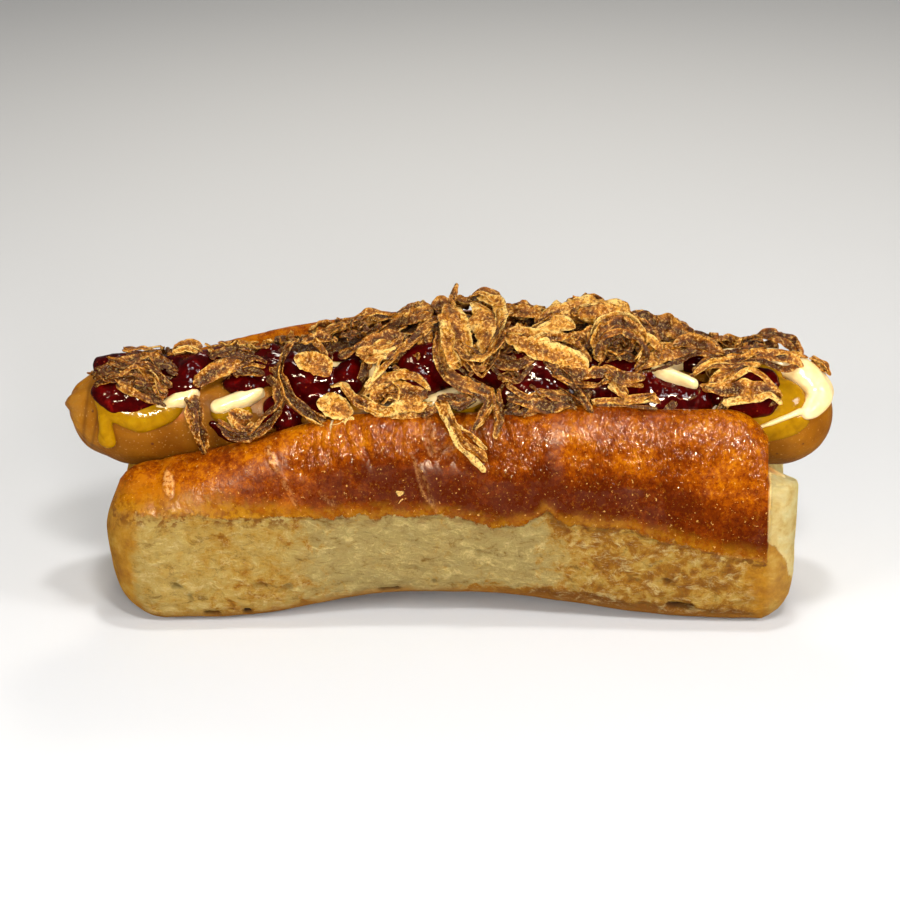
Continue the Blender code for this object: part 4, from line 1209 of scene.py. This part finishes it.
     (20.5, -36, 9.2, 0.8, 10)),
    (0.66, 0.4, 0.3, (12, -48, 8, 0.7, 60), (14.5, -44, 8.6, 0.9, 60), (16, -48, 8.4, 0.8, 60),
     (13.8, -52, 8, 0.7, 50)),
    (0.7, 0.6, 0.3, (25, -42, 9, 0.9, 20), (30, -46, 8.6, 1.5, 20), (35, -44, 8.4, 1.4, 10),
     (39, -40, 8, 0.8, 10)),
    (0.58, 0.5, 0.2, (36, -40, 8.2, 0.9, 10), (41, -46, 7.8, 1.3, 10), (46, -46, 7.2, 0.9, 0)),
    (0.74, 0.6, 0.3, (14, -60, 6.6, 0.8, 0), (19, -64, 6.8, 1.5, 0), (24, -66, 6.6, 1.6, 0),
     (29, -64, 6.2, 0.9, 0)),
    (0.8, 0.6, 0.3, (21, -56, 7.4, 0.8, 10), (25, -58, 7.4, 1.2, 10), (29.5, -62, 6.8, 0.8, 0)),
    (-0.35, 0.2, 0.3, (-11.6, -114.5, 13.3, 0.5, 0), (-10.6, -115, 13.5, 1, 0),
     (-9.8, -115.5, 13.3, 0.5, 0)),
    (0.02, 0.3, 0.3, (37.5, -48, 6.6, 0.8, 0), (39.8, -53, 7, 1.4, 0), (42, -57, 6.6, 0.8, 0)),
    (0.55, 0.2, 0.1, (33.5, -62, 6.2, 0.7, 0), (40, -61, 6.4, 0.9, 0), (48.5, -57, 6.2, 0.7, 0)),
    (0.5, 0.3, 0.2, (83.5, -4, 3.4, 0.9, 10), (86, -8, 3.6, 1.1, 10), (88, -14, 3.2, 0.6, 0)),
)


def scattered(rng, count, spread, angles, length, half, depth, steps, around, seed):
    """Leaves strewn over the heap: each bends once over a random length and direction."""
    leaves = []
    for k in range(count):
        u0, a0 = rng.uniform(*spread), rng.uniform(*angles)
        if u0 < -30 and a0 > 6 and rng.random() < 0.65:
            u0, a0 = rng.uniform(-28, 62), rng.uniform(*angles)
        long, heading, bend = rng.uniform(*length), math.radians(rng.normal(0, 45)), rng.normal(0, 0.35)
        share = np.linspace(-1, 1, 5)
        turn = heading + bend * 2 * share
        ahead = np.cumsum(np.cos(turn)) * long / 5, np.cumsum(np.sin(turn)) * long / 5
        u = u0 + ahead[0] - ahead[0].mean()
        angle = a0 + (ahead[1] - ahead[1].mean()) * 3.2
        height = heap_height(u, angle) * rng.uniform(*depth) + rng.normal(0, 0.5, 5)
        wide = rng.uniform(*half) * np.array([0.6, 1.0, 1.05, 0.95, 0.55])
        tilt = rng.normal(10, 28) + rng.normal(0, 40) * share
        tone = float(np.clip(rng.normal(0.55, 0.20), 0.05, 1))
        ruffle, cup = rng.uniform(0.3, 0.8), rng.uniform(-0.2, 0.4)
        places = np.stack([u, angle, height, wide, tilt], 1)
        leaves.append(leaf(places, tone, ruffle, cup, seed + 7 * k, steps, around))
    return leaves


def shreds(rng, places, tone, seed):
    """Narrow crisp shreds that lie along a layer, split from its sides."""
    places = np.array(places, float)
    made = []
    for k in range(2):
        side = rng.choice((-1, 1)) * rng.uniform(0.5, 1.15)
        shorter = len(places) > 3 and rng.random() < 0.5
        part = places[rng.integers(0, 2):].copy() if shorter else places.copy()
        shift = side * part[:, 3]
        flat = np.hypot(*np.diff(part[[0, -1], :2] * (1, 0.2), axis=0)[0])
        lengthways = abs(part[-1, 0] - part[0, 0]) / max(flat, 1)
        part[:, 1] += shift * 5 * lengthways + rng.normal(0, 3, len(part))
        part[:, 0] += shift * (1 - lengthways) + rng.normal(0, 0.5, len(part))
        part[:, 2] += rng.uniform(-0.4, 0.7) + rng.normal(0, 0.3, len(part))
        part[:, 3] = part[:, 3] * rng.uniform(0.25, 0.5) + 0.15
        part[:, 4] += rng.normal(0, 25)
        own_tone, cup = float(np.clip(tone + rng.normal(0, 0.2), 0, 1)), rng.uniform(-0.3, 0.5)
        made.append(leaf(part, own_tone, 0.5, cup, seed + 3 * k, 34, 10, 0.45))
    return made


# Dark wet bits at the front edge of the sauce: first and last place (mm), height and number
WET_BITS = ((12, 33, 5.6, 20), (40, 60, 4.6, 7), (-12, -2, 6.4, 4), (62, 76, 4.2, 5))


def make_onions(finish):
    """The layers that show, shreds split from them, then strips and crumbs strewn between."""
    shown, split = [], []
    rng = np.random.default_rng(5)
    for k, (tone, ruffle, cup, *places) in enumerate(LAYERS):
        shown.append(leaf(places, tone, ruffle, cup, 301 + 11 * k))
        split += shreds(rng, places, tone, 9001 + 13 * k)
    join_leaves("onion_petals", shown, finish, node="fried_onions")
    join_leaves("onion_shreds", split, finish)

    strewn = scattered(rng, 84, (-77, 76), (18, 66), (9, 20), (1.0, 2.6), (0.75, 1.05), 30, 14, 1000)
    strewn += scattered(rng, 58, (-22, 62), (-30, 18), (7, 15), (0.8, 2.0), (0.60, 0.92), 26, 12, 3000)
    strewn += scattered(rng, 60, (-70, 72), (-18, 60), (3.5, 7), (0.6, 1.4), (0.75, 1.05), 14, 10, 5000)
    share = np.linspace(-1, 1, 4)
    for first, last, height, number in WET_BITS:
        for k in range(number):
            u0, a0, turn = rng.uniform(first, last), rng.uniform(-72, -54), rng.uniform(-0.8, 0.8)
            long = rng.uniform(0.8, 3.0)
            u = u0 + share * long * math.cos(turn)
            angle = a0 + share * long * 5 * math.sin(turn)
            tall = height + rng.uniform(-0.8, 0.4) - 0.4 * share**2
            wide = (1.3 - 0.5 * share**2) * rng.uniform(0.5, 1.0)
            places = np.stack([u, angle, tall, wide, 20 * share], 1)
            strewn.append(leaf(places, rng.uniform(0.65, 0.95), 0.6, 0.2, 8000 + 31 * k + first, 14, 10))
    join_leaves("onion_strips", strewn, finish)
    crumbs = scattered(rng, 150, (-76, 74), (-40, 62), (1.2, 3.0), (0.4, 0.8), (0.8, 1.1), 7, 8, 7000)
    join_leaves("onion_crumbs", crumbs, finish)


CORE_ROWS, CORE_COLUMNS = 210, 56


def make_core(finish):
    """The inside of the heap: a low mound over the sauces with a broken surface, toned near
    black as painted shade in the gaps between the layers.
    """
    u = np.linspace(-76, 74, CORE_ROWS)[:, None]
    share = np.linspace(0, 1, CORE_COLUMNS)[None, :]
    here = np.stack([u / 1000, 0 * u, 0 * u], -1)
    front = -6 - 14 * ramp(u, -34, -18) + 6 * ramp(u, 60, 70) + 8 * noise(here, 0.007, 91)
    behind = 64 - 40 * ramp(-u, 26, 38)
    angle = front + (behind - front) * share
    ends = np.sqrt(np.clip(1 - (np.abs(u + 1) / 75.2) ** 8, 0, 1))
    dome = np.sqrt(np.clip(1 - (2 * share - 1) ** 4, 0, 1))
    place = np.stack(np.broadcast_arrays(u / 1000, angle / 4000, 0 * share), -1)
    rough = 1.0 * layered(place, 0.0032, 93, 3) + 0.8 * noise(place, 0.007, 97)
    height = (heap_height(u, angle) * 0.66 + rough) * dome * ends - 0.4
    top = on_sausage(u / 1000 + 0 * share, angle, height / 1000)
    foot = on_sausage(u / 1000 + 0 * share, angle, np.minimum(height, -0.2 + 0 * height) / 1000 - 0.0004)
    loops = np.concatenate([top, foot[:, -2:0:-1]], axis=1)
    order = np.arange(loops.shape[0] * loops.shape[1]).reshape(loops.shape[:2])
    # Painted shade: the darkest tone, seen through the gaps between the layers.
    tone = 1.0 + 0.2 * layered(loops, 0.006, 99, 2)
    make_piece("onion_heap", loops, grid_faces(*loops.shape[:2]), finish,
               caps=(order[0][::-1], order[-1]),
               marks={"tone": tone, "edge": 0 * tone, "which": 0.5 + 0 * tone})


def onion_finish():
    """Crisp fried onion: pale gold to dark brown, browner in patches, grainy with tiny blisters,
    with painted highlights on the grains, painted shade between them and in each layer's
    middle, and painted light at its sides.
    """
    f = Finish("fried_onion", Subsurface_Weight=0.05, Subsurface_Scale=0.0008,
               Specular_IOR_Level=0.11, Subsurface_Radius=(1.0, 0.5, 0.2))
    patches = f.uneven(260, 5, 0.62, 0.4)
    tone = f.sum(f.mark("tone"), f.times(patches, 1.7))
    tone = f.sum(tone, f.times(f.sum(f.mark("which"), -0.5), 0.40))
    # Painted light: lighter towards each layer's sides and darker towards its middle.
    tone = f.sum(tone, f.times(f.sum(f.mark("edge"), -0.70), -0.55))
    colour = f.blend(tone, (0.02, (0.76, 0.47, 0.13)), (0.22, (0.55, 0.235, 0.022)),
                     (0.46, (0.36, 0.115, 0.006)),
                     (0.70, (0.17, 0.043, 0.002)), (0.97, (0.040, 0.008, 0.001)))
    grit = f.grain(1500, 3, 0.65)
    # Painted highlights: pale specks on the raised grains, most on the dark tones.
    pale = f.times(f.step(grit, 0.53, 0.62), f.step(tone, 1.05, 0.35, 0.26, 0.70))
    colour = f.mix(pale, colour, (0.84, 0.50, 0.13))
    # Painted shade in the hollows between the grains.
    colour = f.over(colour, (0.085, 0.020, 0.001), f.step(grit, 0.47, 0.39), 0.72)
    veins = f.grain(560, 5, 0.7, 0.9)
    colour = f.over(colour, (0.14, 0.038, 0.003), f.step(veins, 0.46, 0.35), 0.55)
    relief = f.bump(grit, 0.00060, 1.0, f.bump(f.grain(620, 4, 0.6), 0.00080))
    return f.finish(colour, f.step(f.grain(350, 3), 0.38, 0.62, 0.18, 0.42), relief)


# ---------------------------------------------------------------- studio

CAMERA_TURN, CAMERA_RISE, CAMERA_ROLL = (math.radians(a) for a in (2.5, 23.0, -1.1))
CAMERA_DISTANCE = 0.60
LENS, SENSOR = 100, 36  # mm
NEAREST, FARTHEST = 0.01, 20
LOOK_AT = Vector((0, 0, 0.036))
LIT_AT = Vector((0, 0, 0.035))
FLOOR_COLOUR = (0.63, 0.63, 0.63, 1)
FLOOR_HALF = 3.0
ROOM_LIGHT = 0.15
WARM = (1, 0.82, 0.56)


def make_camera():
    """A long lens, a little above the hot dog and turned a little to its right."""
    data = bpy.data.cameras.new("camera")
    data.lens, data.sensor_width = LENS, SENSOR
    data.clip_start, data.clip_end = NEAREST, FARTHEST
    camera = bpy.data.objects.new("camera", data)
    bpy.context.scene.collection.objects.link(camera)
    flat = math.cos(CAMERA_RISE)
    away = Vector((math.sin(CAMERA_TURN) * flat, -math.cos(CAMERA_TURN) * flat, math.sin(CAMERA_RISE)))
    camera.location = LOOK_AT + CAMERA_DISTANCE * away
    turn = (LOOK_AT - camera.location).to_track_quat("-Z", "Y").to_euler()
    turn.rotate_axis("Z", CAMERA_ROLL)
    camera.rotation_euler = turn
    bpy.context.scene.camera = camera


def make_light(name, place, size, power, only_shine=False, no_shine=False, tint=(1, 1, 1)):
    """A flat light that faces the hot dog."""
    data = bpy.data.lights.new(name, "AREA")
    data.shape = "RECTANGLE"
    data.size, data.size_y = size
    data.energy = power
    data.color = tint
    light = bpy.data.objects.new(name, data)
    light.location = place
    light.rotation_euler = (LIT_AT - Vector(place)).to_track_quat("-Z", "Y").to_euler()
    light.visible_camera = False
    light.visible_diffuse = not only_shine
    light.visible_glossy = not no_shine
    bpy.context.scene.collection.objects.link(light)


def make_studio():
    """A plain pale floor and soft lights, two of which add shine only and two no shine."""
    floor_finish = Finish("floor", Base_Color=FLOOR_COLOUR, Roughness=0.9, Specular_IOR_Level=0.2)
    mesh = bpy.data.meshes.new("floor")
    half = FLOOR_HALF
    corners = [(-half, -half, 0), (half, -half, 0), (half, half, 0), (-half, half, 0)]
    mesh.from_pydata(corners, [], [(0, 1, 2, 3)])
    mesh.materials.append(floor_finish.material)
    floor = bpy.data.objects.new("floor", mesh)
    floor.visible_glossy = False  # no floor is mirrored in the glazes, so they stay deep
    bpy.context.scene.collection.objects.link(floor)

    world = bpy.data.worlds.new("room")
    world.use_nodes = True
    background = world.node_tree.nodes["Background"].inputs
    background["Color"].default_value = (1, 1, 1, 1)
    background["Strength"].default_value = ROOM_LIGHT
    bpy.context.scene.world = world
    make_light("key", (0.12, -0.46, 0.58), (0.10, 0.10), 2.5)
    make_light("front", (0.12, -0.62, 0.25), (0.10, 0.10), 1.9, no_shine=True)
    make_light("shine_right", (0.12, -0.54, 0.34), (0.055, 0.09), 21.0, only_shine=True, tint=WARM)
    make_light("shine_left", (-0.16, -0.54, 0.32), (0.06, 0.09), 6.0, only_shine=True, tint=WARM)
    make_light("overhead", (0.06, -0.06, 0.76), (0.07, 0.07), 1.9)
    make_light("window", (-0.44, -0.50, 0.28), (0.22, 0.22), 2.5, no_shine=True)
    make_light("side", (0.60, -0.34, 0.30), (0.16, 0.16), 3.1)
    make_light("back", (0.00, 0.50, 0.50), (0.14, 0.08), 1.3, tint=(1, 0.93, 0.80))
    bpy.context.scene.view_settings.view_transform = "Standard"


make_studio()
make_camera()
make_bun(crust_finish())
make_sausage(casing_finish())
make_mustard()
make_mayonnaise()
make_ketchup()
ONION = onion_finish()
make_core(ONION)
make_onions(ONION)
